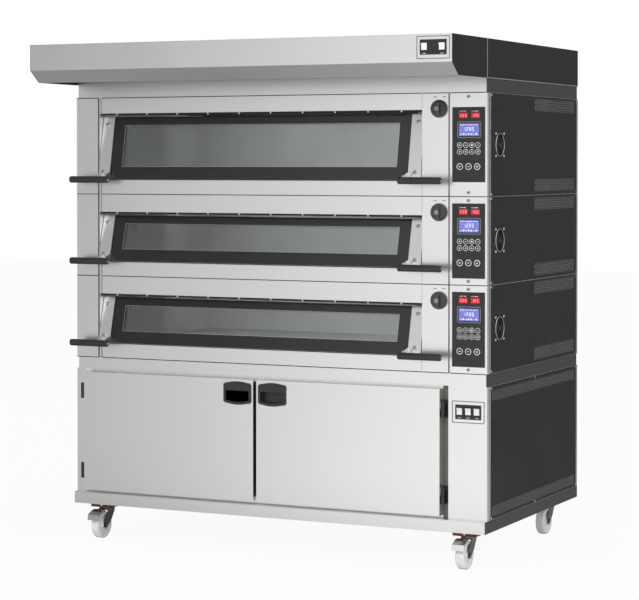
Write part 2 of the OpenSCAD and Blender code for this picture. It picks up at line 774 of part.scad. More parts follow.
module baking_stones() {
    color([0.72, 0.68, 0.6]) for (i = [0:2])
        slab(chamber_x0 + 3, chamber_x1 - 3, chamber_front + 6, chamber_back - 6,
             open_lo(i) + mouth_edge - stone_t, open_lo(i) + mouth_edge);
}
// One hairpin: two runs across the chamber joined by a half turn at the left
module hairpin(y, z) {
    bend = 30;
    for (s = [-1, 1]) rod_x(chamber_x0 + 45, chamber_x1, y + s * bend, z, element_d / 2);
    at(chamber_x0 + 45, y, z) rotate([0, 0, 90]) rotate_extrude(angle = 180)
        translate([bend, 0]) circle(r = element_d / 2, $fn = 20);
}
module heating_elements() {
    color([0.35, 0.33, 0.32]) for (i = [0:2]) for (k = [0:4]) {
        y = chamber_front + 80 + k * (chamber_back - chamber_front - 160) / 4;
        hairpin(y, deck_z[i] + floor_up + 6);
        hairpin(y, deck_z[i] + deck_h[i] - roof_down - 12);
    }
}
module insulation() {
    color([0.85, 0.8, 0.6]) for (i = [0:2]) difference() {
        slab(4, chamber_x1 + 60, chamber_front + 2, chamber_back + 115,
             deck_z[i] + 1, deck_z[i] + deck_h[i] - 1);
        slab(chamber_x0 - sheet, chamber_x1 + sheet, chamber_front - 1, chamber_back + sheet,
             deck_z[i] + floor_up - sheet, deck_z[i] + deck_h[i] - roof_down + sheet);
        rod_x(chamber_x1, chamber_x1 + 61, duct_y, knob_z(i), duct_r + 1.5);
    }
}
// Round lenses in the chambers and the light under the canopy
module lamps() {
    color([0.95, 0.95, 0.85]) {
        for (i = [0:2]) rod_x(chamber_x0, chamber_x0 + 5, 193, open_hi(i) - 60, 14);
        slab(body_w / 2 - 300, body_w / 2 + 300, -hood_over + 60, -hood_over + 110,
             z_top - sheet - 22, z_top - sheet);
    }
}

// ---- Deck doors
module door_glass(i) {
    l = door_len(i);
    color([0.6, 0.65, 0.62, 0.4]) in_door(i) {
        door_slab(door_x0 + sheet, door_x1 - sheet, 0, pane_t, -l, 0);
        door_slab(door_x0 + border_side - pane_lap, door_x1 - border_side + pane_lap, pane_t + frame_t,
                  door_t, border_low - pane_lap - l, pane_lap - border_top);
    }
}
module door_frame(i) {
    l = door_len(i);
    black_plastic() in_door(i) difference() {
        door_slab(door_x0 + sheet, door_x1 - sheet, pane_t, pane_t + frame_t, -l, 0);
        door_slab(door_x0 + border_side, door_x1 - border_side, pane_t - 1, door_t,
                  border_low - l, -border_top);
    }
}
module dome_screw(x, z) {
    translate([X(x), -sheet, z]) rotate([90, 0, 0]) {
        cylinder(r = 11, h = 1);
        intersection() {
            cylinder(r = 7.5, h = 5);
            translate([0, 0, -5]) sphere(r = 10);
        }
    }
}
// Plate at the end of the door, its hinge pin and the arms that carry the bar
module end_bracket(i, left) {
    l = door_len(i);
    x0 = left ? door_x0 : door_x1 - bracket_w;
    end = left ? door_x0 : door_x1 - sheet;
    arm_x = left ? door_x0 + 18 : door_x1 - 54;
    union() {
        door_slab(x0, x0 + bracket_w, -sheet, 0, -l, 0);
        door_slab(end, end + sheet, -sheet, door_t, -l, 0);
        translate([X(left ? door_x0 - 8 : door_x1 - sheet), pivot_back, -pivot_down])
            rotate([0, 90, 0]) cylinder(r = pin_r, h = 8 + sheet);
    }
    for (dx = [0, 30]) translate([X(arm_x + dx), 0, 0]) rotate([90, 0, 90]) linear_extrude(6) difference() {
        polygon([[-sheet, 26 - l], [-sheet, 4 - l], [-handle_out + 6, -handle_below - l - 6],
                 [-handle_out, -handle_below - l], [-handle_out + 4, 8 - l]]);
        translate([-handle_out, -handle_below - l]) circle(r = handle_d / 2);
    }
    for (z = [-28, 25 - l]) dome_screw(left ? door_x0 + 21 : door_x1 - 21, z);
}
module door_brackets(i) {
    steel() in_door(i) {
        end_bracket(i, true);
        end_bracket(i, false);
        for (x = handle_starts()) translate([X(x + handle_len), -handle_out, -handle_below - door_len(i)])
            rotate([0, 90, 0]) cylinder(r = 4, h = 1.5);
    }
}
function handle_starts() = [door_x0 - handle_over, door_x1 - handle_len + handle_over];
module door_handles(i) {
    r = handle_d / 2;
    c = 3;
    black_plastic() in_door(i) for (x = handle_starts())
        translate([X(x), -handle_out, -handle_below - door_len(i)]) rotate([0, 90, 0]) rotate_extrude()
            polygon([[0, 0], [r - c, 0], [r - 0.9, 0.9], [r, c], [r, handle_len - c],
                     [r - 0.9, handle_len - 0.9], [r - c, handle_len], [0, handle_len]]);
}

// ---- Proofing cabinet
module prover_cabinet() {
    pillar_x = body_w - right_pillar_w;
    steel() {
        // pillars
        slab(0, left_pillar_w, 0, sheet, z_prover, z_mid);
        slab(0, sheet, 0, side_lip, z_prover, z_mid);
        slab(6, 6 + sheet, 0, post_y, z_prover, z_mid);
        slab(left_pillar_w - sheet, left_pillar_w, 0, cab_frame_y, z_prover, z_mid);
        difference() {
            slab(pillar_x, body_w, 0, sheet, z_prover, z_mid);
            switch_cutout(0, prover_switch_z);
        }
        slab(body_w - sheet, body_w, 0, side_lip, z_prover, z_mid);
        slab(body_w - 8, body_w - 8 + sheet, 0, post_y, z_prover, z_mid);
        slab(pillar_x, pillar_x + sheet, 0, cab_frame_y, z_prover, z_mid);
        // front frame and inner box
        difference() {
            union() {
                slab(left_pillar_w - sheet, pillar_x + sheet, cab_frame_y + rest_gap,
                     cab_frame_y + rest_gap + sheet, z_prover + 1, z_mid - 1 - rest_gap);
                slab(liner_x0 - sheet, liner_x1 + sheet, cab_frame_y + rest_gap, liner_y1 + sheet,
                     liner_z0 - sheet, liner_z1 + sheet);
            }
            slab(liner_x0, liner_x1, cab_frame_y - 1, liner_y1, liner_z0, liner_z1);
        }
        // box feet under the liner
        for (y = [150, liner_y1 - 150])
            slab(liner_x0, liner_x1, y, y + 40, z_prover + 1, liner_z0 - sheet - rest_gap);
        for (z = hinge_places()) {
            static_hinge(cab_x0 - hinge_out, z, 0);
            static_hinge(cab_x1 + hinge_out, z, cab_frame_y);
        }
    }
}
function hinge_places() = [cab_z0 + hinge_in_z, cab_z1 - hinge_in_z - hinge_h];
// Lower knuckle with the upright pin, and its leaf back to the front frame
module static_hinge(x, z, back) {
    at(x, hinge_y, z) {
        cylinder(r = hinge_r, h = hinge_h / 2 - 0.3);
        cylinder(r = hinge_pin_r, h = hinge_h);
    }
    slab(x - 2, x + 2, hinge_y, back, z, z + hinge_h / 2 - 0.3);
}
module door_hinge(x, z, door_x) {
    difference() {
        union() {
            at(x, hinge_y, z + hinge_h / 2) cylinder(r = hinge_r, h = hinge_h / 2);
            slab(min(x, door_x), max(x, door_x), hinge_y, hinge_y + 3, z + hinge_h / 2, z + hinge_h);
        }
        at(x, hinge_y, z) cylinder(r = hinge_pin_r + pin_fit, h = hinge_h + 1);
    }
}
function cup_x(left) = left ? cab_split - 7 - cup_w : cab_split + door_split + 8;
module proof_door(left) {
    x0 = left ? cab_x0 : cab_split + door_split;
    x1 = left ? cab_split : cab_x1;
    y0 = -cab_door_proud;
    y1 = y0 + cab_door_t;
    steel() {
        difference() {
            slab(x0, x1, y0, y1 - sheet, cab_z0, cab_z1);
            slab(x0 + sheet, x1 - sheet, y0 + sheet, y1, cab_z0 + sheet, cab_z1 - sheet);
            slab(cup_x(left) + 5, cup_x(left) + cup_w - 5, y0 - 1, y0 + 3, cup_z + 5, cup_z + cup_h - 5);
        }
        slab(x0, x1, y1 - sheet, y1, cab_z0, cab_z1);
        for (z = hinge_places()) door_hinge(left ? x0 - hinge_out : x1 + hinge_out, z, left ? x0 : x1);
    }
}
module cup_outline(inset) {
    bulge = 160;
    intersection() {
        translate([inset, inset]) square([cup_w - 2 * inset, cup_h - 2 * inset]);
        translate([cup_w / 2, cup_h - inset - bulge]) circle(r = bulge, $fn = 96);
        translate([cup_w / 2, bulge + inset]) circle(r = bulge, $fn = 96);
    }
}
module proof_handle(left) {
    black_plastic() at(cup_x(left), -cab_door_proud, cup_z) rotate([90, 0, 0]) difference() {
        union() {
            linear_extrude(3) cup_outline(0);
            translate([0, 0, -22]) linear_extrude(22) cup_outline(6);
        }
        translate([0, 0, -20]) linear_extrude(20) intersection() {
            cup_outline(8);
            square([cup_w, cup_h]);
        }
        linear_extrude(4) intersection() {
            cup_outline(10);
            square([cup_w, cup_h - 34]);
        }
    }
}
// Racks of tray runners, and the water tray of the humidifier
module prover_fittings() {
    mid = (liner_x0 + liner_x1) / 2;
    levels = [for (k = [0:4]) liner_z0 + 75 + 68 * k];
    steel() {
        for (r = [[liner_x0, 1], [mid + 3, 1], [mid - 3, -1], [liner_x1, -1]])
            rack(r[0], r[1], levels);
        slab(mid - 3, mid + 3, 80, liner_y1 - 80, liner_z0 + rest_gap, liner_z1 - rest_gap);
        difference() {
            slab(mid + 120, mid + 420, liner_y1 - 260, liner_y1 - 60, liner_z0, liner_z0 + 60);
            slab(mid + 122, mid + 418, liner_y1 - 258, liner_y1 - 62, liner_z0 + 2, liner_z0 + 61);
        }
        at(mid + 270, liner_y1 - 160, liner_z0 + 2 + rest_gap + element_d / 2) rotate_extrude()
            translate([60, 0]) circle(r = element_d / 2, $fn = 20);
    }
}
// Two uprights and five angle runners on one wall
module rack(x, side, levels) {
    near = side > 0 ? x + rest_gap : x - 6 - rest_gap;
    for (y = [110, liner_y1 - 130]) slab(near, near + 6, y, y + 20, liner_z0 + rest_gap, liner_z1 - rest_gap);
    rail = side > 0 ? x + 6 + 2 * rest_gap : x - 26 - 2 * rest_gap;
    up = side > 0 ? rail : rail + 18.5;
    for (z = levels) {
        slab(rail, rail + 20, 60, liner_y1 - 60, z, z + 1.5);
        slab(up, up + 1.5, 60, liner_y1 - 60, z, z + 16);
    }
}

// ---- Casters
function caster_at(k) = [k % 2 == 0 ? caster_in_x : body_w - caster_in_x,
                         k < 2 ? caster_in_y - cab_door_proud : body_d - caster_in_y];
module at_caster(k) { at(caster_at(k)[0], caster_at(k)[1], 0) children(); }
module caster_plates() {
    color([0.4, 0.16, 0.12]) for (k = [0:3]) at_caster(k) {
        translate([-44, -40, caster_h - spacer_t]) cube([88, 80, spacer_t]);
        translate([0, 0, fork_top_z - 4]) cylinder(r = 6, h = 6);
    }
}
module fork_leg() {
    linear_extrude(3) difference() {
        polygon([[24, fork_top_z - 3], [24, fork_top_z - 16], [4, 68], [12 - trail, wheel_d / 2 - 8],
                 [-trail, wheel_d / 2 - 13], [-12 - trail, wheel_d / 2 - 8], [-14 - trail, 62],
                     [-20, fork_top_z - 10], [-20, fork_top_z - 3]]);
        translate(brake_pivot) circle(r = 3 + pin_fit);
    }
}
module caster_fork(k) {
    leg_x = wheel_w / 2 + 1.5;
    color([0.75, 0.75, 0.75]) at_caster(k) {
        difference() {
            union() {
                translate([-leg_x - 3, -20, fork_top_z - 3]) cube([2 * leg_x + 6, 44, 3]);
                translate([0, 0, fork_top_z - 3]) cylinder(r = 30, h = 3);
                for (x = [-leg_x - 3, leg_x]) translate([x, 0, 0]) rotate([90, 0, 90]) fork_leg();
                translate([-leg_x - 7, -trail, wheel_d / 2]) rotate([0, 90, 0])
                    cylinder(r = axle_r, h = 2 * leg_x + 14);
                for (x = [-leg_x - 7, leg_x + 3]) translate([x, -trail, wheel_d / 2]) rotate([0, 90, 0])
                    cylinder(r = 8.5, h = 4, $fn = 6);
            }
            translate([0, 0, fork_top_z - 8]) cylinder(r = 6.05, h = 10);
        }
    }
}
module caster_wheel(k) {
    r = wheel_d / 2;
    w = wheel_w / 2;
    color([0.95, 0.95, 0.93]) at_caster(k) translate([0, -trail, r]) rotate([0, 90, 0])
        rotate_extrude($fn = 96)
            polygon([[axle_r + pin_fit, -w - 1], [15, -w - 1], [16, -w + 5], [r - 14, -w + 5], [r - 10, -w],
                     [r - 4, -w], [r - 1, -w + 3], [r, -w + 8], [r, w - 8], [r - 1, w - 3], [r - 4, w],
                     [r - 10, w], [r - 14, w - 5], [16, w - 5], [15, w + 1], [axle_r + pin_fit, w + 1]]);
}
module caster_brake(k) {
    py = brake_pivot[0];
    pz = brake_pivot[1];
    color([0.8, 0.8, 0.8]) at_caster(k) union() {
        translate([-15, 0, 0]) rotate([90, 0, 90]) linear_extrude(30)
            polygon([[py + 5, pz + 4], [-52, pz + 5.5], [-52, pz + 2.8], [-trail, pz + 1.6], [-24, pz - 1],
                     [py + 5, pz - 4]]);
        translate([-23, 0, 0]) rotate([90, 0, 90]) linear_extrude(46)
            polygon([[-50, pz + 5.5], [-68, pz + 4], [-98, pz - 9], [-100, pz - 30], [-96, pz - 30],
                     [-94, pz - 12], [-67, pz + 0.7], [-50, pz + 2.8]]);
        translate([-leg_pin(), py, pz]) rotate([0, 90, 0]) cylinder(r = 3, h = 2 * leg_pin());
    }
}
function leg_pin() = wheel_w / 2 + 5.5;

// ---- Screws
module head_y(x, y, z, r) { rod_y(x, y - 2.2, y, z, r); }
module head_x(right, y, z, r) { rod_x(right ? body_w : -2.2, right ? body_w + 2.2 : 0, y, z, r); }
module screws() {
    color([0.85, 0.85, 0.85]) {
        for (i = [0:2]) {
            z0 = deck_z[i];
            z1 = z0 + deck_h[i];
            for (z = [z0 + 14, z1 - 14]) head_y(ctrl_x, 0, z, 4.5);
            for (k = [0:10]) at(open_x0 + 8 + k * (open_x1 - open_x0 - 16) / 10, 26, open_hi(i) - 3)
                cylinder(r = 3.5, h = 3);
            for (dy = [-1, 1]) for (dz = [-1, 1])
                rod_x(body_w, body_w + 0.6, fan_y + dy * fan_screw, deck_mid(i) + dz * fan_screw, 3);
            for (right = [false, true]) for (y = [side_y0 + 5, side_y1 - 7]) for (z = [z0 + 8, z1 - 8])
                head_x(right, y, z, 4);
        }
        for (right = [false, true]) for (y = [side_y0 + 5, body_d / 2, side_y1 - 7])
            for (z = [z_prover + 7, z_mid - 7]) head_x(right, y, z, 4);
    }
}

hood_shell();
side_panels();
vent_grilles();
lamps();
spacer_bands();
chassis();
deck_fronts();
control_plates();
keypads();
baking_stones();
heating_elements();
insulation();
for (i = [0:2]) fan_frame(i);  // fan_frames
prover_cabinet();
prover_fittings();
caster_plates();
screws();
proof_door(true);  // proof_door_left
proof_door(false);  // proof_door_right
proof_handle(true);  // proof_handle_left
proof_handle(false);  // proof_handle_right
rocker(-hood_over, hood_switch_z, -1);  // hood_rocker_light
rocker(-hood_over, hood_switch_z, 1);  // hood_rocker_fan
rocker(0, prover_switch_z, -1);  // prover_rocker_1
rocker(0, prover_switch_z, 0);  // prover_rocker_2
rocker(0, prover_switch_z, 1);  // prover_rocker_3
caster_brake(0);  // caster_brake_front_left
caster_brake(1);  // caster_brake_front_right
for (k = [0:3]) {
    caster_fork(k);
    caster_wheel(k);
}
for (i = [0:2]) {
    chamber(i);
    door_glass(i);
    door_frame(i);
    door_brackets(i);
    door_handles(i);
    damper_knob(i);
    damper_rod(i);
    fan_rotor(i);
}
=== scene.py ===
"""Finishes and details of a three-deck bakery oven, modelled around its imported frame."""

import math
from contextlib import contextmanager

import bpy
from mathutils import Matrix, Vector


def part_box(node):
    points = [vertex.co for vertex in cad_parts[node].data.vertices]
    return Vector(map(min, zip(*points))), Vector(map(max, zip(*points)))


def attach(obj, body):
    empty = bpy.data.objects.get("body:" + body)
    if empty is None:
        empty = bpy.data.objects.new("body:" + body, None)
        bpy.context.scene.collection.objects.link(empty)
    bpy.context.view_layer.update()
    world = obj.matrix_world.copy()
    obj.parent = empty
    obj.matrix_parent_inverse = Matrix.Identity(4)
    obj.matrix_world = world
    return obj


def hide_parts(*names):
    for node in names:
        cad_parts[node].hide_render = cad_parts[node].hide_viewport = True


bl_info = {
    "name": "Deck oven",
    "version": (1, 0, 0),
    "blender": (4, 5, 0),
    "location": "3D View > Sidebar > Oven",
    "description": "Finishes and details of a bakery deck oven on a proofing cabinet",
    "category": "Object",
}

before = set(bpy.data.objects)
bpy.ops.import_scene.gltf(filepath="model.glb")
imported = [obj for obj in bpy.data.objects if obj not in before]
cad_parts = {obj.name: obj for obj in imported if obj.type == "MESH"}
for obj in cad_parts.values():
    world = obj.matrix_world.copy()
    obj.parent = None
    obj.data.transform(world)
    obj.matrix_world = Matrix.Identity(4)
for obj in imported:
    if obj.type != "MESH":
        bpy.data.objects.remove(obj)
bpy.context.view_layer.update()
MM = 0.001


# ---- Places read from the frame


def middle(node):
    low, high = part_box(node)
    return (low + high) / 2


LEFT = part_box("side_panels")[0].x
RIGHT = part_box("side_panels")[1].x
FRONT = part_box("deck_fronts")[0].y
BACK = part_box("side_panels")[1].y
HOOD_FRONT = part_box("hood_shell")[0].y
HOOD_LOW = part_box("hood_shell")[0].z
HOOD_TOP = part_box("lamps")[1].z + 2 * MM
BASE_LOW, BASE_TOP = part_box("caster_plates")[1].z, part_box("prover_cabinet")[0].z
CABINET_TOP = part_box("prover_cabinet")[1].z
FLOOR_UP = 26 * MM
KNOB_DROP = 55 * MM
SHEET = 2 * MM
DECKS = (1, 2, 3)
CASTERS = ("front_left", "front_right", "back_left", "back_right")
KNOB_X = 1481
CTRL_X = 1591


def spot(x, y, z):
    """x from the left side, y behind the deck fronts and z above the floor, all in millimetres."""
    return Vector((LEFT, FRONT, 0)) + Vector((x, y, z)) * MM


class Deck:
    """Where one deck's pieces are."""

    def __init__(self, number):
        self.number = number
        self.knob = middle(f"damper_rod_{number}")
        self.knob.y = FRONT
        self.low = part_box(f"chamber_{number}")[0].z - FLOOR_UP
        self.high = self.knob.z + KNOB_DROP
        self.middle = (self.low + self.high) / 2
        self.body = f"deck_door_{number}"
        glass_low, glass_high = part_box(f"door_glass_{number}")
        self.door_left = glass_low.x - SHEET
        self.door_right = glass_high.x + SHEET
        self.top = glass_high.z
        self.door_y = FRONT + 31 * MM
        run = self.door_y - glass_low.y
        drop = self.top - glass_low.z
        drop -= 5 * MM * math.sin(math.atan(run / drop))
        self.lean = math.atan(run / drop)
        self.length = math.hypot(run, drop)
        tilt = Matrix.Rotation(-self.lean, 4, "X")
        self.door_matrix = Matrix.Translation((0, self.door_y, self.top)) @ tilt


DECK = {number: Deck(number) for number in DECKS}


# ---- Sizes and colours that a user would change


class OvenFinishes(bpy.types.PropertyGroup):
    """Colours of the oven's surfaces."""

    steel: bpy.props.FloatVectorProperty(
        name="Steel", description="Brushed stainless fronts", subtype="COLOR", size=3,
        default=(0.88, 0.875, 0.87), min=0, max=1)
    paint: bpy.props.FloatVectorProperty(
        name="Paint", description="Dark powder coat of the side panels", subtype="COLOR", size=3,
        default=(0.011, 0.011, 0.0115), min=0, max=1)
    plastic: bpy.props.FloatVectorProperty(
        name="Plastic", description="Black plastic of handles, knobs and keypads", subtype="COLOR", size=3,
        default=(0.022, 0.022, 0.0225), min=0, max=1)
    glass: bpy.props.FloatVectorProperty(
        name="Glass", description="Tint of the door panes", subtype="COLOR", size=3,
        default=(0.86, 0.885, 0.88), min=0, max=1)
    display: bpy.props.FloatVectorProperty(
        name="Display", description="Lit window of the keypads", subtype="COLOR", size=3,
        default=(0.12, 0.13, 0.40), min=0, max=1)
    digits: bpy.props.FloatVectorProperty(
        name="Digits", description="Lit digits of the keypads", subtype="COLOR", size=3,
        default=(0.55, 0.008, 0.022), min=0, max=1)


class OvenStage(bpy.types.PropertyGroup):
    """Camera and light."""

    camera_at: bpy.props.FloatVectorProperty(
        name="Camera", description="Where the camera stands", subtype="TRANSLATION", unit="LENGTH", size=3,
        default=(3.5645, -7.280, 1.4125))
    camera_turn: bpy.props.FloatProperty(
        name="Turn", description="How far the camera is turned from the front", subtype="ANGLE",
        default=math.radians(25.864))
    camera_tilt: bpy.props.FloatProperty(
        name="Tilt", description="How far the camera looks down", subtype="ANGLE",
        default=math.radians(1.067))
    lens: bpy.props.FloatProperty(
        name="Lens", description="Focal length in millimetres", default=122.07, min=20, max=300)
    shift: bpy.props.FloatProperty(
        name="Shift", description="Upward shift of the lens", default=-0.1504, min=-0.5, max=0.5)
    key_power: bpy.props.FloatProperty(
        name="Key", description="Power of the large front lamp in watts", default=190, min=0)
    fill_power: bpy.props.FloatProperty(
        name="Fill", description="Power of the lamp on the right in watts", default=60, min=0)
    chamber_power: bpy.props.FloatProperty(
        name="Chamber", description="Power of the light inside each chamber in watts", default=0.9, min=0)
    sky: bpy.props.FloatProperty(
        name="Sky", description="Strength of the even light from all round", default=0.62, min=0)
    room_left: bpy.props.FloatProperty(
        name="Room left", description="Brightness of the room's left as the metal mirrors it", default=0.22,
        min=0, max=1)
    floor_left: bpy.props.FloatProperty(
        name="Floor left", description="Brightness of the floor's left as the metal mirrors it", default=0.52,
        min=0, max=1)
    fan_point: bpy.props.FloatVectorProperty(
        name="Fan point", description="Point behind the oven from which the floor's light fans out",
        subtype="TRANSLATION", unit="LENGTH", size=3, default=(3.56, 6.65, 0))


# ---- Materials


def add_node(tree, kind, inputs=None, **settings):
    """A node with its settings, and inputs that are values or other nodes' outputs."""
    made = tree.nodes.new(kind)
    for key, value in settings.items():
        setattr(made, key, value)
    for key, value in (inputs or {}).items():
        if isinstance(value, bpy.types.NodeSocket):
            tree.links.new(value, made.inputs[key])
        else:
            made.inputs[key].default_value = value
    return made


def principled(name, colour, **values):
    """A material's node tree and its shader, with plain values set on the shader itself."""
    material = bpy.data.materials.new(name)
    material.use_nodes = True
    tree = material.node_tree
    shader = tree.nodes["Principled BSDF"]
    shader.inputs["Base Color"].default_value = (*colour, 1)
    for key, value in values.items():
        shader.inputs[key.replace("_", " ")].default_value = value
    material.diffuse_color = (*colour, 1)
    return material, tree, shader


def wire(tree, shader, **values):
    """Links nodes' outputs to the shader's inputs."""
    for key, value in values.items():
        tree.links.new(value, shader.inputs[key.replace("_", " ")])


def stretched(tree, stretch):
    """Object coordinates in metres, scaled by stretch."""
    place = add_node(tree, "ShaderNodeTexCoord").outputs["Object"]
    return add_node(tree, "ShaderNodeMapping", {"Vector": place, "Scale": stretch}).outputs[0]


def axes_of(tree, vector):
    """The x, y and z outputs of a vector."""
    return add_node(tree, "ShaderNodeSeparateXYZ", {0: vector}).outputs


def noise(tree, where, scale, detail=2.0, roughness=0.5):
    inputs = {"Vector": where, "Scale": scale, "Detail": detail, "Roughness": roughness}
    return add_node(tree, "ShaderNodeTexNoise", inputs).outputs["Fac"]


def spread(tree, value, low, high, start=0.3, end=0.7):
    """A value from start to end, mapped to low to high."""
    inputs = {"Value": value, "From Min": start, "From Max": end, "To Min": low, "To Max": high}
    return add_node(tree, "ShaderNodeMapRange", inputs).outputs["Result"]


def shade(tree, value, colour, low, high, start=0.3, end=0.7):
    """The colour, darkened and lightened by a value."""
    factor = spread(tree, value, low, high, start, end)
    mix = add_node(tree, "ShaderNodeVectorMath", {0: colour, "Scale": factor}, operation="SCALE")
    return mix.outputs[0]


def bump(tree, height, strength, distance):
    inputs = {"Height": height, "Strength": strength, "Distance": distance}
    return add_node(tree, "ShaderNodeBump", inputs).outputs[0]


def brushed(name, colour, grain, roughness=0.3, streaks=0.012):
    """Satin stainless steel: very fine streaks along the grain and faint, wide wiping marks."""
    material, tree, shader = principled(name, colour, Metallic=1.0)
    across = {"x": (6, 1500, 1500), "y": (1500, 6, 1500), "z": (1500, 1500, 6)}[grain]
    lines = noise(tree, stretched(tree, across), 1.0, 2.0, 0.6)
    wide = noise(tree, stretched(tree, (1, 1, 1)), 1.6, 2.0)
    tone = shade(tree, wide, colour, 0.985, 1.015)
    streak = spread(tree, lines, 1 - streaks, 1 + streaks)
    mix = add_node(tree, "ShaderNodeVectorMath", {0: tone, "Scale": streak}, operation="SCALE")
    wiped = spread(tree, wide, roughness - 0.015, roughness + 0.02)
    fine = both(tree, wiped, spread(tree, lines, -0.02, 0.03), "ADD")
    wire(tree, shader, Base_Color=mix.outputs[0], Roughness=fine, Normal=bump(tree, lines, 0.05, 0.0001))
    return material


def painted_where(name, steel_material, mask_of, colour):
    """The steel's own tree with a dark colour laid over it where the mask is 1: paint on the band sides and
    hinges, painted shade on the hinge strip.
    """
    material = steel_material.copy()
    material.name = name
    tree = material.node_tree
    shader = tree.nodes["Principled BSDF"]
    mask = mask_of(tree)
    for socket, value in (("Base Color", (*colour, 1)), ("Metallic", 0.0), ("Roughness", 0.45)):
        colour_mix = socket == "Base Color"
        mix = add_node(tree, "ShaderNodeMix", data_type="RGBA" if colour_mix else "FLOAT")
        slots = [slot for slot in mix.inputs if slot.enabled]
        tree.links.new(mask, slots[0])
        if shader.inputs[socket].is_linked:
            tree.links.new(shader.inputs[socket].links[0].from_socket, slots[1])
        else:
            slots[1].default_value = shader.inputs[socket].default_value
        slots[2].default_value = value
        result = next(out for out in mix.outputs if out.enabled)
        tree.links.new(result, shader.inputs[socket])
    return material


# The room brightens along this direction, between these two parts of a unit vector along it
TO_THE_RIGHT = (0.86, -0.5, 0)
LEFT_END, RIGHT_END = -0.06, 0.17
# Brightness at the bright end, as metal and panes mirror the room and the floor
ROOM_RIGHT, FLOOR_RIGHT = 1.18, 1.12
# The floor's own glow in mirrors and to the camera, and its shade in front of the oven, by y in metres
FLOOR_GLOW = 0.94
UNDER_HOOD, SHADE_STARTS, SHADE_ENDS = 0.45, -1.05, -0.65


def room_side(tree, way, left, right):
    """From left to right in the directions that the fronts mirror."""
    side = add_node(tree, "ShaderNodeVectorMath", {0: way, 1: TO_THE_RIGHT}, operation="DOT_PRODUCT")
    inputs = {"Value": side.outputs["Value"], "From Min": LEFT_END, "From Max": RIGHT_END,
              "To Min": left, "To Max": right}
    return add_node(tree, "ShaderNodeMapRange", inputs, interpolation_type="SMOOTHSTEP").outputs["Result"]


def faces_sideways(tree):
    """1 on faces that look left or right."""
    normal = add_node(tree, "ShaderNodeNewGeometry").outputs["Normal"]
    side = add_node(tree, "ShaderNodeMath", {0: axes_of(tree, normal)[0]}, operation="ABSOLUTE")
    return both(tree, side.outputs[0], 0.5, "GREATER_THAN")


def between(tree, axis, low, high):
    """1 where the object coordinate lies between low and high, in metres."""
    place = axes_of(tree, add_node(tree, "ShaderNodeTexCoord").outputs["Object"])[axis]
    return both(tree, both(tree, place, low, "GREATER_THAN"), both(tree, place, high, "LESS_THAN"))


def mirrored_ray(tree, rays):
    """1 on rays that have met a mirror or the face of a pane on their way."""
    return both(tree, rays.outputs["Glossy Depth"], 0.5, "GREATER_THAN")


def both(tree, one, other, operation="MULTIPLY"):
    """Two values, joined by a Math node."""
    return add_node(tree, "ShaderNodeMath", {0: one, 1: other}, operation=operation).outputs[0]


def hinge_strip(tree):
    """1 on the strip between the right door and the pillar."""
    return between(tree, 0, LEFT + 1491.5 * MM, LEFT + 1514.5 * MM)


def hinge_places(tree):
    """1 on the cabinet's hinges, which stand in front of or beside the doors."""
    left = both(tree, between(tree, 0, -1, LEFT + 41.5 * MM), between(tree, 1, -1, FRONT - 0.5 * MM))
    low = between(tree, 2, BASE_TOP + 50 * MM, BASE_TOP + 114 * MM)
    high = between(tree, 2, CABINET_TOP - 114 * MM, CABINET_TOP - 50 * MM)
    right = both(tree, hinge_strip(tree), both(tree, low, high, "MAXIMUM"))
    return both(tree, left, right, "MAXIMUM")


def powder_coat(name, colour, roughness=0.5):
    """Baked paint with a fine orange peel and slight rub marks."""
    material, tree, shader = principled(name, colour, Specular_IOR_Level=0.22)
    where = stretched(tree, (1, 1, 1))
    peel = noise(tree, where, 900.0, 2.0)
    clouds = noise(tree, where, 4.0, 3.0)
    wire(tree, shader, Base_Color=shade(tree, clouds, colour, 0.88, 1.14),
         Roughness=spread(tree, clouds, roughness - 0.05, roughness + 0.06),
         Normal=bump(tree, peel, 0.25, 0.0004))
    return material


def moulded(name, colour, roughness=0.35, grain=1400.0, depth=0.15, **values):
    """Moulded plastic with a fine texture and faint handling marks."""
    material, tree, shader = principled(name, colour, **values)
    where = stretched(tree, (1, 1, 1))
    spots = noise(tree, where, grain, 1.0)
    marks = noise(tree, where, 30.0, 4.0, 0.6)
    wire(tree, shader, Base_Color=shade(tree, marks, colour, 0.9, 1.12),
         Roughness=spread(tree, marks, roughness - 0.05, roughness + 0.08),
         Normal=bump(tree, spots, depth, 0.0003))
    return material


def plated(name, colour, roughness=0.12):
    """Chrome or zinc plate with a slightly uneven, finely spotted finish."""
    material, tree, shader = principled(name, colour, Metallic=1.0)
    where = stretched(tree, (1, 1, 1))
    spots = noise(tree, where, 60.0, 5.0, 0.65)
    wire(tree, shader, Base_Color=shade(tree, spots, colour, 0.93, 1.05),
         Roughness=spread(tree, spots, roughness - 0.04, roughness + 0.07),
         Normal=bump(tree, noise(tree, where, 25.0, 2.0), 0.08, 0.001))
    return material


def clear_pane(name, tint, index=1.45):
    """Thin tinted glass that lets the lamps reach what is behind it."""
    material, tree, shader = principled(name, tint, Roughness=0.02, IOR=index, Transmission_Weight=1.0)
    marks = noise(tree, stretched(tree, (1, 1, 1)), 9.0, 4.0, 0.6)
    wire(tree, shader, Roughness=spread(tree, marks, 0.0, 0.02))
    rays = add_node(tree, "ShaderNodeLightPath")
    lamp = both(tree, rays.outputs["Is Shadow Ray"], rays.outputs["Is Diffuse Ray"], "MAXIMUM")
    through = add_node(tree, "ShaderNodeBsdfTransparent", {"Color": (*tint, 1)})
    mix = add_node(tree, "ShaderNodeMixShader", {0: lamp, 1: shader.outputs[0], 2: through.outputs[0]})
    tree.links.new(mix.outputs[0], tree.nodes["Material Output"].inputs["Surface"])
    return material


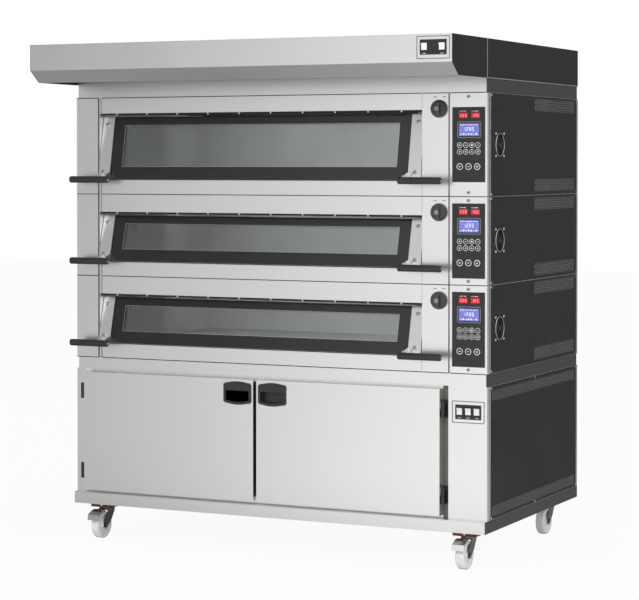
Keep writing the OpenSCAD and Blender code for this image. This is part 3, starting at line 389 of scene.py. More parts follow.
def fired_stone(name, colour):
    """Pale refractory slab: grains, pores and toasted patches."""
    material, tree, shader = principled(name, colour, Roughness=0.92)
    where = stretched(tree, (1, 1, 1))
    grains = noise(tree, where, 260.0, 4.0, 0.7)
    patches = noise(tree, where, 5.0, 5.0, 0.6)
    toasted = shade(tree, patches, colour, 0.72, 1.08)
    speckle = spread(tree, grains, 0.82, 1.1)
    mix = add_node(tree, "ShaderNodeVectorMath", {0: toasted, "Scale": speckle}, operation="SCALE")
    wire(tree, shader, Base_Color=mix.outputs[0], Normal=bump(tree, grains, 0.5, 0.001))
    return material


def lit(name, colour, strength):
    """A window or digit that shines by itself, unevenly as a backlight does."""
    material, tree, shader = principled(name, colour, Roughness=0.25, Emission_Strength=strength)
    glow = noise(tree, stretched(tree, (1, 1, 1)), 70.0, 2.0)
    wire(tree, shader, Emission_Color=shade(tree, glow, colour, 0.8, 1.25),
         Base_Color=shade(tree, glow, colour, 0.8, 1.1))
    return material


def wool(name, colour):
    """Mineral wool: matted fibres."""
    material, tree, shader = principled(name, colour, Roughness=1.0)
    fibres = noise(tree, stretched(tree, (40, 160, 40)), 3.0, 6.0, 0.75)
    wire(tree, shader, Base_Color=shade(tree, fibres, colour, 0.6, 1.2),
         Normal=bump(tree, fibres, 0.8, 0.004))
    return material


FINISH = {}


def make_finishes(looks):
    steel, plastic = tuple(looks.steel), tuple(looks.plastic)
    made = {
        "steel_along": brushed("steel_along", steel, "x"),
        "steel_upright": brushed("steel_upright", steel, "z"),
        "steel_deep": brushed("steel_deep", (0.6, 0.6, 0.59), "y", 0.34),
        "steel_bracket": brushed("steel_bracket", (0.8, 0.8, 0.78), "z", 0.36),
        "chamber_steel": powder_coat("chamber_steel", (0.66, 0.67, 0.66), 0.7),
        "knob_plastic": moulded("knob_plastic", (0.05, 0.05, 0.05), 0.3),
        "paint": powder_coat("paint", tuple(looks.paint)),
        # Painted highlight: the perforated bands' paint is lighter than the side panels' to stand in for the
        # light on the rims of the holes.
        "mesh_paint_and_rim_highlight": powder_coat("mesh_paint_and_rim_highlight", (0.075, 0.075, 0.075), 0.38),
        "plastic": moulded("plastic", plastic),
        "plastic_rough": moulded("plastic_rough", (0.02, 0.02, 0.021), 0.5, 900.0, 0.3),
        "keypad_film": moulded("keypad_film", (0.014, 0.014, 0.015), 0.28, 2400.0, 0.06),
        "pane": clear_pane("pane", tuple(looks.glass)),
        "coated_pane": clear_pane("coated_pane", tuple(looks.glass), 2.35),
        "printed_border": powder_coat("printed_border", (0.022, 0.021, 0.02), 0.55),
        "chrome": plated("chrome", (0.72, 0.72, 0.73)),
        "dark_plate": plated("dark_plate", (0.16, 0.16, 0.165), 0.28),
        "zinc": plated("zinc", (0.66, 0.67, 0.68), 0.27),
        "screw": plated("screw", (0.74, 0.73, 0.71), 0.2),
        "white_nylon": moulded("white_nylon", (0.86, 0.86, 0.84), 0.34, 500.0, 0.1, Subsurface_Weight=0.08),
        "white_rocker": moulded("white_rocker", (0.88, 0.88, 0.86), 0.22, 2000.0, 0.04),
        "spacer_paint": powder_coat("spacer_paint", (0.2, 0.035, 0.022), 0.4),
        "stone": fired_stone("stone", (0.58, 0.53, 0.44)),
        "element": plated("element", (0.16, 0.14, 0.13), 0.45),
        "wool": wool("wool", (0.62, 0.55, 0.33)),
        "lamp_lens": moulded("lamp_lens", (0.75, 0.76, 0.72), 0.12, 300.0, 0.05, Transmission_Weight=0.4),
        "display": lit("display", tuple(looks.display), 0.75),
        "digit": lit("digit", (1.0, 0.25, 0.3), 0.85),
        "red_window": lit("red_window", tuple(looks.digits), 0.4),
        "screen_mark": lit("screen_mark", (0.62, 0.66, 1.0), 0.8),
        "white_print": moulded("white_print", (0.8, 0.8, 0.8), 0.5, 2000.0, 0.05),
        "grey_print": moulded("grey_print", (0.2, 0.21, 0.21), 0.4, 2000.0, 0.05),
        "inlay": moulded("inlay", (0.26, 0.26, 0.26), 0.35, 2000.0, 0.05),
        "head": plated("head", (0.34, 0.33, 0.32), 0.3),
        "seal": moulded("seal", (0.012, 0.012, 0.012), 0.75, 700.0, 0.4),
    }
    made["band_steel"] = painted_where("band_steel", made["steel_along"], faces_sideways,
                                       (0.024, 0.024, 0.024))
    # Painted shade: the recessed strip between the right door and the pillar gets a dark olive colour for the
    # shade it lies in, and its hinges get black paint.
    strip = painted_where("strip_steel_painted_shade", made["steel_upright"], hinge_strip, (0.13, 0.125, 0.105))
    made["cabinet_steel"] = painted_where("cabinet_steel", strip, hinge_places, (0.02, 0.02, 0.02))
    made["door_steel"] = painted_where("door_steel", made["steel_along"], hinge_places, (0.02, 0.02, 0.02))
    FINISH.update(made)


NODE_FINISH = {
    "hood_shell": "steel_along", "side_panels": "paint", "vent_grilles": "paint", "lamps": "lamp_lens",
    "spacer_bands": "band_steel", "chassis": "zinc", "deck_fronts": "steel_along",
    "control_plates": "steel_upright", "keypads": "keypad_film", "baking_stones": "stone",
    "heating_elements": "element", "insulation": "wool", "fan_frames": "plastic_rough",
    "prover_cabinet": "cabinet_steel", "prover_fittings": "steel_deep", "caster_plates": "spacer_paint",
    "screws": "screw", "chamber": "chamber_steel", "door_glass": "pane", "door_frame": "printed_border",
    "door_brackets": "steel_bracket", "door_handles": "plastic", "damper_knob": "plastic",
    "damper_rod": "zinc", "fan_rotor": "plastic_rough", "proof_door": "door_steel",
    "proof_handle": "plastic", "hood_rocker": "white_rocker", "prover_rocker": "white_rocker",
    "caster_brake": "chrome", "caster_fork": "chrome", "caster_wheel": "white_nylon",
}


def finish_for(node):
    return next(FINISH[look] for start, look in NODE_FINISH.items() if node.startswith(start))


# ---- Modelling helpers


def alone(piece):
    """Only this piece is selected, and it is active."""
    bpy.ops.object.select_all(action="DESELECT")
    piece.select_set(True)
    bpy.context.view_layer.objects.active = piece
    return piece


def start(name, primitive, **options):
    """A primitive, named and alone in the selection, with its place and size in its mesh."""
    bpy.ops.object.select_all(action="DESELECT")
    primitive(**options)
    piece = bpy.context.object
    piece.name = piece.data.name = name
    bpy.ops.object.transform_apply(location=True, rotation=True, scale=True)
    return piece


def block(name, low, high):
    low, high = Vector(low), Vector(high)
    return start(name, bpy.ops.mesh.primitive_cube_add, size=1, location=(low + high) / 2, scale=high - low)


AXIS_TURN = {"x": (0, math.pi / 2, 0), "y": (math.pi / 2, 0, 0), "z": (0, 0, 0)}


def round_bar(name, centre, axis, radius, length, sides=32):
    return start(name, bpy.ops.mesh.primitive_cylinder_add, vertices=sides, radius=radius, depth=length,
                 location=centre, rotation=AXIS_TURN[axis])


def torus(name, centre, axis, radius, thick, sides, round_sides):
    """A round ring about an axis; the radii of the ring and of its wire are in millimetres."""
    return start(name, bpy.ops.mesh.primitive_torus_add, location=centre, rotation=AXIS_TURN[axis],
                 major_radius=radius * MM, minor_radius=thick * MM, major_segments=sides,
                 minor_segments=round_sides)


@contextmanager
def editing(piece, kind, chosen):
    """Edit mode, with only the faces, edges or corners that are chosen by their place selected."""
    alone(piece)
    mesh = piece.data
    kinds = {"VERT": mesh.vertices, "EDGE": mesh.edges, "FACE": mesh.polygons}
    bpy.context.tool_settings.mesh_select_mode = tuple(k == kind for k in kinds)
    for parts in kinds.values():
        parts.foreach_set("select", [False] * len(parts))
    if kind == "EDGE":
        places = [(mesh.vertices[e.vertices[0]].co, mesh.vertices[e.vertices[1]].co) for e in mesh.edges]
        for edge, ends in zip(mesh.edges, places):
            edge.select = chosen(*ends)
    else:
        for part in kinds[kind]:
            part.select = chosen(part)
    bpy.ops.object.mode_set(mode="EDIT")
    yield
    bpy.ops.object.mode_set(mode="OBJECT")


def modify(piece, kind, **settings):
    """Adds a modifier and applies it."""
    alone(piece)
    bpy.ops.object.modifier_add(type=kind)
    modifier = piece.modifiers[-1]
    for key, value in settings.items():
        setattr(modifier, key, value)
    bpy.ops.object.modifier_apply(modifier=modifier.name)
    return piece


def soften(piece, width, segments=2):
    """Rounds the sharp edges."""
    return modify(piece, "BEVEL", width=width, segments=segments, limit_method="ANGLE",
                  angle_limit=math.radians(35), use_clamp_overlap=True)


def finished(piece, finish, body, smooth=40):
    """Gives a piece its finish, its smooth shading and the body that it rides on."""
    alone(piece)
    bpy.ops.object.transform_apply(location=True, rotation=True, scale=True)
    bpy.ops.object.shade_smooth_by_angle(angle=math.radians(smooth))
    modify(piece, "WEIGHTED_NORMAL", keep_sharp=True)
    piece.data.materials.clear()
    piece.data.materials.append(FINISH[finish])
    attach(piece, body)
    return piece


def joined(name, pieces):
    """Several meshes as one piece."""
    bpy.ops.object.select_all(action="DESELECT")
    for piece in pieces:
        piece.select_set(True)
    bpy.context.view_layer.objects.active = pieces[0]
    if len(pieces) > 1:
        bpy.ops.object.join()
    pieces[0].name = pieces[0].data.name = name
    return pieces[0]


def copied(piece, name, shift):
    """A copy with its own mesh, moved by shift."""
    twin = piece.copy()
    twin.data = piece.data.copy()
    twin.name = twin.data.name = name
    bpy.context.scene.collection.objects.link(twin)
    twin.data.transform(Matrix.Translation(shift))
    return twin


class OvenOperator:
    """What every operator of this file shares."""

    bl_options = {"REGISTER", "UNDO"}


# ---- Stage


class OVEN_OT_stage(OvenOperator, bpy.types.Operator):
    """Sets up the camera, the pale floor and the soft studio light"""

    bl_idname = "oven.stage"
    bl_label = "Stage"

    def execute(self, context):
        stage = context.scene.oven_stage
        context.scene.view_settings.view_transform = "Standard"
        self.add_camera(context.scene, stage)
        self.add_floor(stage)
        self.add_sky(context.scene, stage)
        self.add_lamp("key_lamp", (0.6, -6.0, 4.6), (0, 0, 0.9), (5.0, 3.0), stage.key_power)
        self.add_lamp("fill_lamp", (6.0, -0.5, 3.2), (0, 0, 0.9), (3.0, 3.0), stage.fill_power)
        for deck in DECK.values():
            across = (deck.door_left + deck.door_right) / 2
            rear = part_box(f"chamber_{deck.number}")[1].y
            at = (across, FRONT + 240 * MM, deck.top - 45 * MM)
            aim = (across + 150 * MM, rear, deck.middle)
            self.add_lamp(f"chamber_light_{deck.number}", at, aim, (1.0, 0.03), stage.chamber_power)
        return {"FINISHED"}

    def add_camera(self, scene, stage):
        tilt = math.pi / 2 - stage.camera_tilt
        bpy.ops.object.camera_add(location=stage.camera_at, rotation=(tilt, 0, stage.camera_turn))
        camera = bpy.context.object
        camera.name = "camera"
        camera.data.lens = stage.lens
        camera.data.shift_y = stage.shift
        camera.data.clip_end = 60
        scene.camera = camera

    def add_floor(self, stage):
        floor = start("floor", bpy.ops.mesh.primitive_grid_add, x_subdivisions=8, y_subdivisions=8, size=40)
        pale = (0.86, 0.86, 0.86)
        material, tree, shader = principled("floor", pale, Roughness=0.8, Specular_IOR_Level=0.2)
        rays = add_node(tree, "ShaderNodeLightPath")
        speckle = noise(tree, stretched(tree, (1, 1, 1)), 2.0)
        wire(tree, shader, Base_Color=shade(tree, speckle, pale, 0.99, 1.01))
        where = add_node(tree, "ShaderNodeTexCoord").outputs["Object"]
        away = add_node(tree, "ShaderNodeVectorMath", {0: where, 1: tuple(stage.fan_point)},
                        operation="SUBTRACT")
        way = add_node(tree, "ShaderNodeVectorMath", {0: away.outputs[0]}, operation="NORMALIZE")
        lit_side = room_side(tree, way.outputs[0], stage.floor_left, FLOOR_RIGHT)
        shaded = spread(tree, axes_of(tree, where)[1], 1.0, UNDER_HOOD, SHADE_STARTS, SHADE_ENDS)
        glossy = mirrored_ray(tree, rays)
        strength = add_node(tree, "ShaderNodeMix", {0: glossy, 2: 1.0, 3: both(tree, lit_side, shaded)})
        white = add_node(tree, "ShaderNodeEmission", {"Color": (1, 1, 1, 1), "Strength": strength.outputs[0]})
        part = both(tree, both(tree, rays.outputs["Is Camera Ray"], glossy, "MAXIMUM"), FLOOR_GLOW)
        mix = add_node(tree, "ShaderNodeMixShader", {0: part, 1: shader.outputs[0], 2: white.outputs[0]})
        tree.links.new(mix.outputs[0], tree.nodes["Material Output"].inputs["Surface"])
        floor.data.materials.append(material)

    def add_sky(self, scene, stage):
        """White where it is seen or mirrored, with the left of the room dimmer in reflections."""
        world = bpy.data.worlds.new("studio")
        scene.world = world
        world.use_nodes = True
        tree = world.node_tree
        rays = add_node(tree, "ShaderNodeLightPath")
        way = add_node(tree, "ShaderNodeTexCoord").outputs["Generated"]
        dim = room_side(tree, way, stage.room_left, ROOM_RIGHT)
        seen = both(tree, rays.outputs["Is Camera Ray"], rays.outputs["Is Transmission Ray"], "MAXIMUM")
        plain = add_node(tree, "ShaderNodeMix", {0: seen, 2: stage.sky, 3: 1.0})
        level = add_node(tree, "ShaderNodeMix", {0: mirrored_ray(tree, rays), 2: plain.outputs[0], 3: dim})
        background = tree.nodes["Background"]
        background.inputs["Color"].default_value = (1, 1, 1, 1)
        tree.links.new(level.outputs[0], background.inputs["Strength"])

    def add_lamp(self, name, at, aim, size, power):
        bpy.ops.object.light_add(type="AREA", location=at)
        lamp = bpy.context.object
        lamp.name = name
        lamp.data.shape = "RECTANGLE"
        lamp.data.size, lamp.data.size_y = size
        lamp.data.energy = power
        lamp.visible_camera = lamp.visible_glossy = lamp.visible_transmission = False
        lamp.rotation_euler = (Vector(aim) - Vector(at)).to_track_quat("-Z", "Y").to_euler()


class OVEN_OT_finishes(OvenOperator, bpy.types.Operator):
    """Makes the materials and gives each carried-over node its own"""

    bl_idname = "oven.finishes"
    bl_label = "Finishes"

    def execute(self, context):
        make_finishes(context.scene.oven_finishes)
        for name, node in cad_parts.items():
            node.data.materials.clear()
            node.data.materials.append(finish_for(name))
        return {"FINISHED"}


# ---- Perforated bands in the side panels


def perforated_row(length, height, tiles, plain_first):
    """One row of obround holes in a thin sheet that faces right, half a tile of it left plain."""
    pitch = length / (tiles + 0.5)
    margin = (height - 4.8 * MM) / 2
    tile = start("tile", bpy.ops.mesh.primitive_plane_add, size=1, rotation=(0, math.pi / 2, 0))
    tile.data.transform(Matrix.Diagonal((1, pitch, height, 1)))
    with editing(tile, "FACE", lambda face: True):
        bpy.ops.mesh.inset(thickness=margin)
        bpy.ops.transform.resize(value=(1, 9.6 * MM / (pitch - 2 * margin), 1))
        bpy.ops.mesh.bevel(offset=1.5 * MM, segments=1, affect="VERTICES")
    with editing(tile, "FACE", lambda face: face.center.length < 0.2 * MM):
        bpy.ops.mesh.delete(type="FACE")
    modify(tile, "ARRAY", count=tiles, use_relative_offset=False, use_constant_offset=True,
           constant_offset_displace=(0, pitch, 0), use_merge_vertices=True, merge_threshold=0.01 * MM)
    end = start("end", bpy.ops.mesh.primitive_plane_add, size=1, rotation=(0, math.pi / 2, 0))
    end.data.transform(Matrix.Diagonal((1, pitch / 2, height, 1)))
    end.data.transform(Matrix.Translation((0, (0.25 if plain_first else tiles + 0.25) * pitch, 0)))
    tile.data.transform(Matrix.Translation((0, (1.0 if plain_first else 0.5) * pitch, 0)))
    return joined("row", [tile, end])


def perforated_sheet(length, height, rows, tiles):
    """A whole band, 1.5 mm thick, from its lower front corner."""
    step = height / rows
    pieces = []
    for row in range(rows):
        line = perforated_row(length, step, tiles, row % 2 == 1)
        line.data.transform(Matrix.Translation((0, 0, (row + 0.5) * step)))
        pieces.append(line)
    sheet = joined("sheet", pieces)
    with editing(sheet, "VERT", lambda corner: True):
        bpy.ops.mesh.remove_doubles(threshold=0.02 * MM)
    return modify(sheet, "SOLIDIFY", thickness=1.5 * MM, offset=-1)


class OVEN_OT_perforated_bands(OvenOperator, bpy.types.Operator):
    """Vent bands of staggered holes, flush with the side panels"""

    bl_idname = "oven.perforated_bands"
    bl_label = "Perforated bands"

    def execute(self, context):
        deck_band = perforated_sheet(431 * MM, 44 * MM, 5, 21)
        cabinet_band = perforated_sheet(859 * MM, 36 * MM, 5, 40)
        places = []
        for deck in DECK.values():
            places += [(deck_band, 470, deck.high - 54 * MM), (deck_band, 470, deck.low + 14 * MM)]
        places += [(cabinet_band, 47, CABINET_TOP - 51 * MM), (cabinet_band, 47, BASE_TOP + 11 * MM)]
        bands = []
        for band, y, z in places:
            for x in (LEFT + 1.6 * MM, RIGHT - 0.1 * MM):
                bands.append(copied(band, "band", (x, FRONT + y * MM, z)))
        bpy.data.objects.remove(deck_band)
        bpy.data.objects.remove(cabinet_band)
        # The bands' lighter paint is a painted highlight of the hole rims.
        bands = finished(joined("perforated_bands", bands), "mesh_paint_and_rim_highlight", "oven")
        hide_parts("vent_grilles")
        return {"FINISHED"}


# ---- Knobs, keypads and switches


class OVEN_OT_knobs(OvenOperator, bpy.types.Operator):
    """Damper knobs: a skirt, a drum, a rounded grip and a grey inlay, with two marks above each"""

    bl_idname = "oven.knobs"
    bl_label = "Damper knobs"

    def execute(self, context):
        for deck in DECK.values():
            self.add_knob(deck)
        marks = []
        for deck in DECK.values():
            for shift in (-22, 12):
                low = spot(KNOB_X + shift, -0.35, 0) + Vector((0, 0, deck.high - 15 * MM))
                marks.append(block("mark", low, low + Vector((13, 0.4, 2.4)) * MM))
        soften(joined("knob_marks", marks), 0.1 * MM, 1)
        finished(bpy.data.objects["knob_marks"], "grey_print", "oven")
        return {"FINISHED"}

    def add_knob(self, deck):
        number, centre = deck.number, deck.knob
        skirt = round_bar("skirt", centre + Vector((0, -3.5 * MM, 0)), "y", 31 * MM, 6 * MM, 64)
        with editing(skirt, "FACE", lambda face: face.normal.y < -0.9):
            bpy.ops.mesh.inset(thickness=3.5 * MM)
            bpy.ops.transform.translate(value=(0, -1.5 * MM, 0))
            bpy.ops.mesh.inset(thickness=0.8 * MM)
            bpy.ops.mesh.extrude_region_move(TRANSFORM_OT_translate={"value": (0, -7 * MM, 0)})
        soften(skirt, 1.0 * MM, 3)
        grip = block("grip", centre + Vector((-10.5, -28.3, -25.5)) * MM,
                     centre + Vector((10.5, -10, 25.5)) * MM)
        with editing(grip, "FACE", lambda face: face.normal.y < -0.9):
            bpy.ops.transform.resize(value=(0.72, 1, 0.94))
        soften(grip, 4.0 * MM, 5)
        face = centre + Vector((0, -27.9 * MM, 0))
        inlay = round_bar(f"knob_inlay_{number}", face, "y", 8.5 * MM, 1 * MM, 40)
        soften(inlay, 0.3 * MM)
        knob = finished(joined(f"knob_{number}", [skirt, grip]), "knob_plastic", f"damper_{number}")
        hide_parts(f"damper_knob_{number}")
        finished(inlay, "inlay", f"damper_{number}")


SEGMENTS = {"0": "abcdef", "1": "bc", "2": "abdeg", "5": "acdfg", "8": "abcdefg"}
SEGMENT_PLACES = {"a": (0, 2, True), "b": (1, 1.5, False), "c": (1, 0.5, False), "d": (0, 0, True),
                  "e": (0, 0.5, False), "f": (0, 1.5, False), "g": (0, 1, True)}


def seven_segments(text, x, y, z, step=9.0, width=5.0, height=10.0, bar=1.1):
    """Lit bars of a row of digits; x, y and z are those of the first digit's lower left corner."""
    bars = []
    for place, glyph in enumerate(text):
        for segment in SEGMENTS[glyph]:
            column, half, flat = SEGMENT_PLACES[segment]
            left = x + place * step + (0.4 if flat else column * (width - bar))
            low = z + half * (height - bar) / 2 - (0 if flat else 0.5 * (height - bar) / 2 - 0.4)
            size = (width - 0.8, bar) if flat else (bar, (height - bar) / 2 - 0.2)
            bars.append(block("bar", spot(left, y, low), spot(left + size[0], y + 0.3, low + size[1])))
    return bars


def rounded_frame(name, centre, width, height, band, depth, corner):
    """A flat ring with rounded corners that faces the front; sizes in millimetres."""
    half = Vector((width, depth, height)) * MM / 2
    ring = block(name, centre - half, centre + half)
    with editing(ring, "EDGE", lambda a, b: abs(a.y - b.y) > depth * MM / 2):
        bpy.ops.mesh.bevel(offset=corner * MM, segments=4, affect="EDGES")
    with editing(ring, "FACE", lambda face: abs(face.normal.y) > 0.9):
        bpy.ops.mesh.inset(thickness=band * MM, use_individual=True)
        bpy.ops.mesh.bridge_edge_loops()
    return ring


def flat_ring(name, centre, radius, band, depth, sides=28):
    """A thin round ring that faces the front; sizes in millimetres."""
    ring = torus(name, centre, "y", radius - band / 2, band / 2, sides, 6)
    with editing(ring, "VERT", lambda corner: True):
        bpy.ops.transform.resize(value=(1, depth / band, 1), center_override=centre)
    return ring


def arrow(name, centre, size, turn):
    """A small three-cornered key symbol."""
    mark = start(name, bpy.ops.mesh.primitive_cylinder_add, vertices=3, radius=size * MM, depth=0.3 * MM,
                 location=centre, rotation=(math.pi / 2, turn, 0))
    return soften(mark, 0.1 * MM, 1)


class OVEN_OT_keypads(OvenOperator, bpy.types.Operator):
    """Keypads: red displays with digits, the blue screen in its grey ring, ring keys and small marks"""

    bl_idname = "oven.keypads"
    bl_label = "Keypads"

    def execute(self, context):
        base = DECK[1]
        middle_z = base.middle / MM
        pieces = {
            "keypad_windows": (self.windows(middle_z), "red_window"),
            "keypad_digits": (self.digits(middle_z), "digit"),
            "keypad_screen": (self.screen(middle_z), "display"),
            "keypad_screen_ring": ([rounded_frame("ring", spot(CTRL_X + 2.5, -2.4, middle_z + 51.5),
                                                  88, 57, 2.6, 0.7, 6)], "grey_print"),
            "keypad_screen_marks": (self.screen_marks(middle_z), "screen_mark"),
            "keypad_keys": (self.keys(middle_z), "white_print"),
        }
        for name, (parts, finish) in pieces.items():
            model = joined(name, parts)
            for deck in DECK.values():
                shift = (0, 0, deck.middle - base.middle)
                finished(copied(model, f"{name}_{deck.number}", shift), finish, "oven")
            bpy.data.objects.remove(model)
        return {"FINISHED"}

    def windows(self, z):
        made = []
        for shift in (-19, 26):
            low, high = spot(CTRL_X + shift - 16, -2.35, z + 92), spot(CTRL_X + shift + 16, -2.1, z + 110)
            made.append(soften(block("window", low, high), 0.1 * MM, 1))
        return made

    def digits(self, z):
        return [bar for shift, text in ((-19, "220"), (26, "185"))
                for bar in seven_segments(text, CTRL_X + shift - 11.5, -2.6, z + 96)]

    def screen(self, z):
        low, high = spot(CTRL_X - 35, -2.55, z + 30), spot(CTRL_X + 40, -2.3, z + 73)
        return [soften(block("screen", low, high), 0.1 * MM, 1)]

    def screen_marks(self, z):
        """A row of digits, a row of short bars and a row of bars of stepped heights, as on a plain timer."""
        made = seven_segments("1285", CTRL_X - 18, -2.8, z + 47, 10.5, 6.5, 13, 1.4)
        for column in range(7):
            x = CTRL_X - 30 + 9.5 * column
            made.append(block("bar", spot(x, -2.8, z + 67), spot(x + 6, -2.55, z + 69)))
            tall = 2 + (column * 3) % 5
            made.append(block("bar", spot(x, -2.8, z + 34), spot(x + 5, -2.55, z + 34 + tall)))
        return made

    def keys(self, z):
        made = []
        for row in range(2):
            for column in range(4):
                at = spot(CTRL_X + (column - 1.5) * 22.6 + 1, -2.3, z - 2 - 23 * row)
                made.append(flat_ring("ring", at, 9.5, 1.5, 0.5))
                if column == row or row == 1:
                    made.append(arrow("arrow", at, 4.2, math.pi / 2 * (column + 2 * row)))
                else:
                    size = Vector((3.2, 0.15, 1.0 if column % 2 else 3.0)) * MM
                    made.append(soften(block("sign", at - size, at + size), 0.1 * MM, 1))
        for column in range(3):
            at = spot(CTRL_X + (column - 1) * 32.3, -2.3, z - 76)
            made.append(flat_ring("ring", at, 11.4, 2.2, 0.5, 32))
            size = Vector((4.0, 0.15, 1.1)) * MM
            made.append(block("minus", at - size, at + size))
            if column != 1:
                size = Vector((1.1, 0.16, 4.0 if column else 2.4)) * MM
                made.append(block("plus", at - size, at + size))
        for left, length in ((-34, 3), (-28, 9), (-16, 7), (11, 2), (16, 5), (24, 12)):
            low = spot(CTRL_X + left, -1.9, z + 114.5)
            made.append(block("dash", low, low + Vector((length, 0.3, 2.2)) * MM))
        return made


class OVEN_OT_switches(OvenOperator, bpy.types.Operator):
    """Switch groups: dark outlines, a surround for each rocker and small marks under them"""

    bl_idname = "oven.switches"
    bl_label = "Switches"

    def execute(self, context):
        groups = {"hood": (HOOD_FRONT, HOOD_LOW / MM + 92, (-1, 1)),
                  "cabinet": (FRONT, CABINET_TOP / MM - 89, (-1, 0, 1))}
        for name, (front, z, columns) in groups.items():
            forward = (front - FRONT) / MM
            outline = rounded_frame("outline", spot(CTRL_X, forward - 1.7, z), 121, 77, 3.2, 0.8, 2)
            finished(joined(f"{name}_switch_outline", [outline]), "grey_print", "oven")
            surrounds, marks = [], []
            for column in columns:
                x = CTRL_X + 32 * column
                surrounds.append(soften(rounded_frame("surround", spot(x, forward - 4.1, z + 3),
                                                      28, 35, 3.2, 1.4, 3), 0.35 * MM))
                for left, length in ((-6, 4), (0, 6)):
                    low = spot(x + left, forward - 3.75, z - 21)
                    marks.append(block("mark", low, low + Vector((length, 0.3, 2.0)) * MM))
            finished(joined(f"{name}_switch_surrounds", surrounds), "plastic", "oven")
            finished(joined(f"{name}_switch_marks", marks), "white_print", "oven")
        return {"FINISHED"}


# ---- Edges rounded on copies of carried-over nodes


def rounded_copy(node, name, finish, body, width, segments=2):
    """A merged copy of a node with rounded edges, which stands for it."""
    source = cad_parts[node]
    twin = copied(source, name, (0, 0, 0))
    with editing(twin, "VERT", lambda corner: True):
        bpy.ops.mesh.remove_doubles(threshold=0.005 * MM)
        bpy.ops.mesh.dissolve_limited(angle_limit=math.radians(1))
    soften(twin, width, segments)
    finished(twin, finish, body, 35)
    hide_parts(node)


class OVEN_OT_rounded_parts(OvenOperator, bpy.types.Operator):
    """Cup handles, rockers, pedals and forks with rounded edges"""

    bl_idname = "oven.rounded_parts"
    bl_label = "Rounded parts"

    def execute(self, context):
        for side in ("left", "right"):
            rounded_copy(f"proof_handle_{side}", f"cup_handle_{side}", "plastic", f"proof_{side}",
                         1.3 * MM, 3)
            rounded_copy(f"caster_brake_front_{side}", f"pedal_{side}", "chrome",
                         f"caster_pedal_front_{side}", 0.9 * MM)
        for rocker in ("light", "fan"):
            rounded_copy(f"hood_rocker_{rocker}", f"rocker_{rocker}", "white_rocker", f"hood_switch_{rocker}",
                         0.5 * MM)
        for number in (1, 2, 3):
            rounded_copy(f"prover_rocker_{number}", f"rocker_{number}", "white_rocker",
                         f"prover_switch_{number}", 0.5 * MM)
        for caster in CASTERS:
            rounded_copy(f"caster_fork_{caster}", f"fork_{caster}", "dark_plate", f"caster_swivel_{caster}",
                         0.5 * MM)
        return {"FINISHED"}


# ---- Trim, seams and seals


class OVEN_OT_seams(OvenOperator, bpy.types.Operator):
    """Dark seam strips between the decks and frames, the hood's steel edges and the upstand under it"""

    bl_idname = "oven.seams"
    bl_label = "Seams and trim"

    def execute(self, context):
        levels = [DECK[1].low, DECK[2].low, DECK[3].low, DECK[3].high]
        for number, z in enumerate(levels, 1):
            strips = []
            for x0, x1 in ((0, 93), (113, 1415), (1417, 1515), (1521, 1660)):
                middle_point = spot((x0 + x1) / 2, 0.1, z / MM)
                half = Vector(((x1 - x0) / 2, 0.6, 1.5)) * MM
                strips.append(soften(block("strip", middle_point - half, middle_point + half), 0.3 * MM, 1))
            finished(joined(f"seam_{number}", strips), "seal", "oven")
        for side, x in (("left", LEFT), ("right", RIGHT)):
            parts = []
            for low, high in (((0, -3, HOOD_LOW / MM), (0, 1.5, HOOD_TOP / MM)),
                              ((0, 1.5, HOOD_LOW / MM), (0, 945, HOOD_LOW / MM + 3))):
                low, high = spot(*low), spot(*high)
                low.x, high.x = x - 0.7 * MM, x + 0.7 * MM
                parts.append(soften(block("trim", low, high), 0.25 * MM))
            finished(joined(f"hood_trim_{side}", parts), "steel_deep", "oven")
        upstand = block("canopy_upstand", spot(3, 0, HOOD_LOW / MM + 2), spot(1657, 1.5, HOOD_LOW / MM + 14))
        finished(soften(upstand, 0.4 * MM), "steel_along", "oven")
        return {"FINISHED"}


class OVEN_OT_door_panes(OvenOperator, bpy.types.Operator):
    """The outer pane and the coated inner pane of each door, and the thin frame between them"""

    bl_idname = "oven.door_panes"
    bl_label = "Door panes"

    def execute(self, context):
        for deck in DECK.values():
            left, right, low = deck.door_left, deck.door_right, -deck.length
            panes = {
                "outer": ((left + SHEET, 0, low), (right - SHEET, 5 * MM, 0), "pane"),
                "inner": ((left + 80 * MM, 14 * MM, low + 31 * MM),
                          (right - 80 * MM, 18 * MM, -15 * MM), "coated_pane"),
            }
            centre = Vector(((left + right) / 2, 5.6 * MM, low / 2 + 8 * MM))
            bead = rounded_frame(f"pane_bead_{deck.number}", centre, (right - left) / MM - 188,
                                 -low / MM - 74, 2.2, 0.8, 1)
            bead.data.transform(deck.door_matrix)
            finished(bead, "steel_along", deck.body)
            for name, (corner, opposite, finish) in panes.items():
                pane = soften(block(f"door_{name}_pane_{deck.number}", corner, opposite), 0.6 * MM)
                pane.data.transform(deck.door_matrix)
                finished(pane, finish, deck.body, 1)
                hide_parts(f"door_glass_{deck.number}")
        return {"FINISHED"}


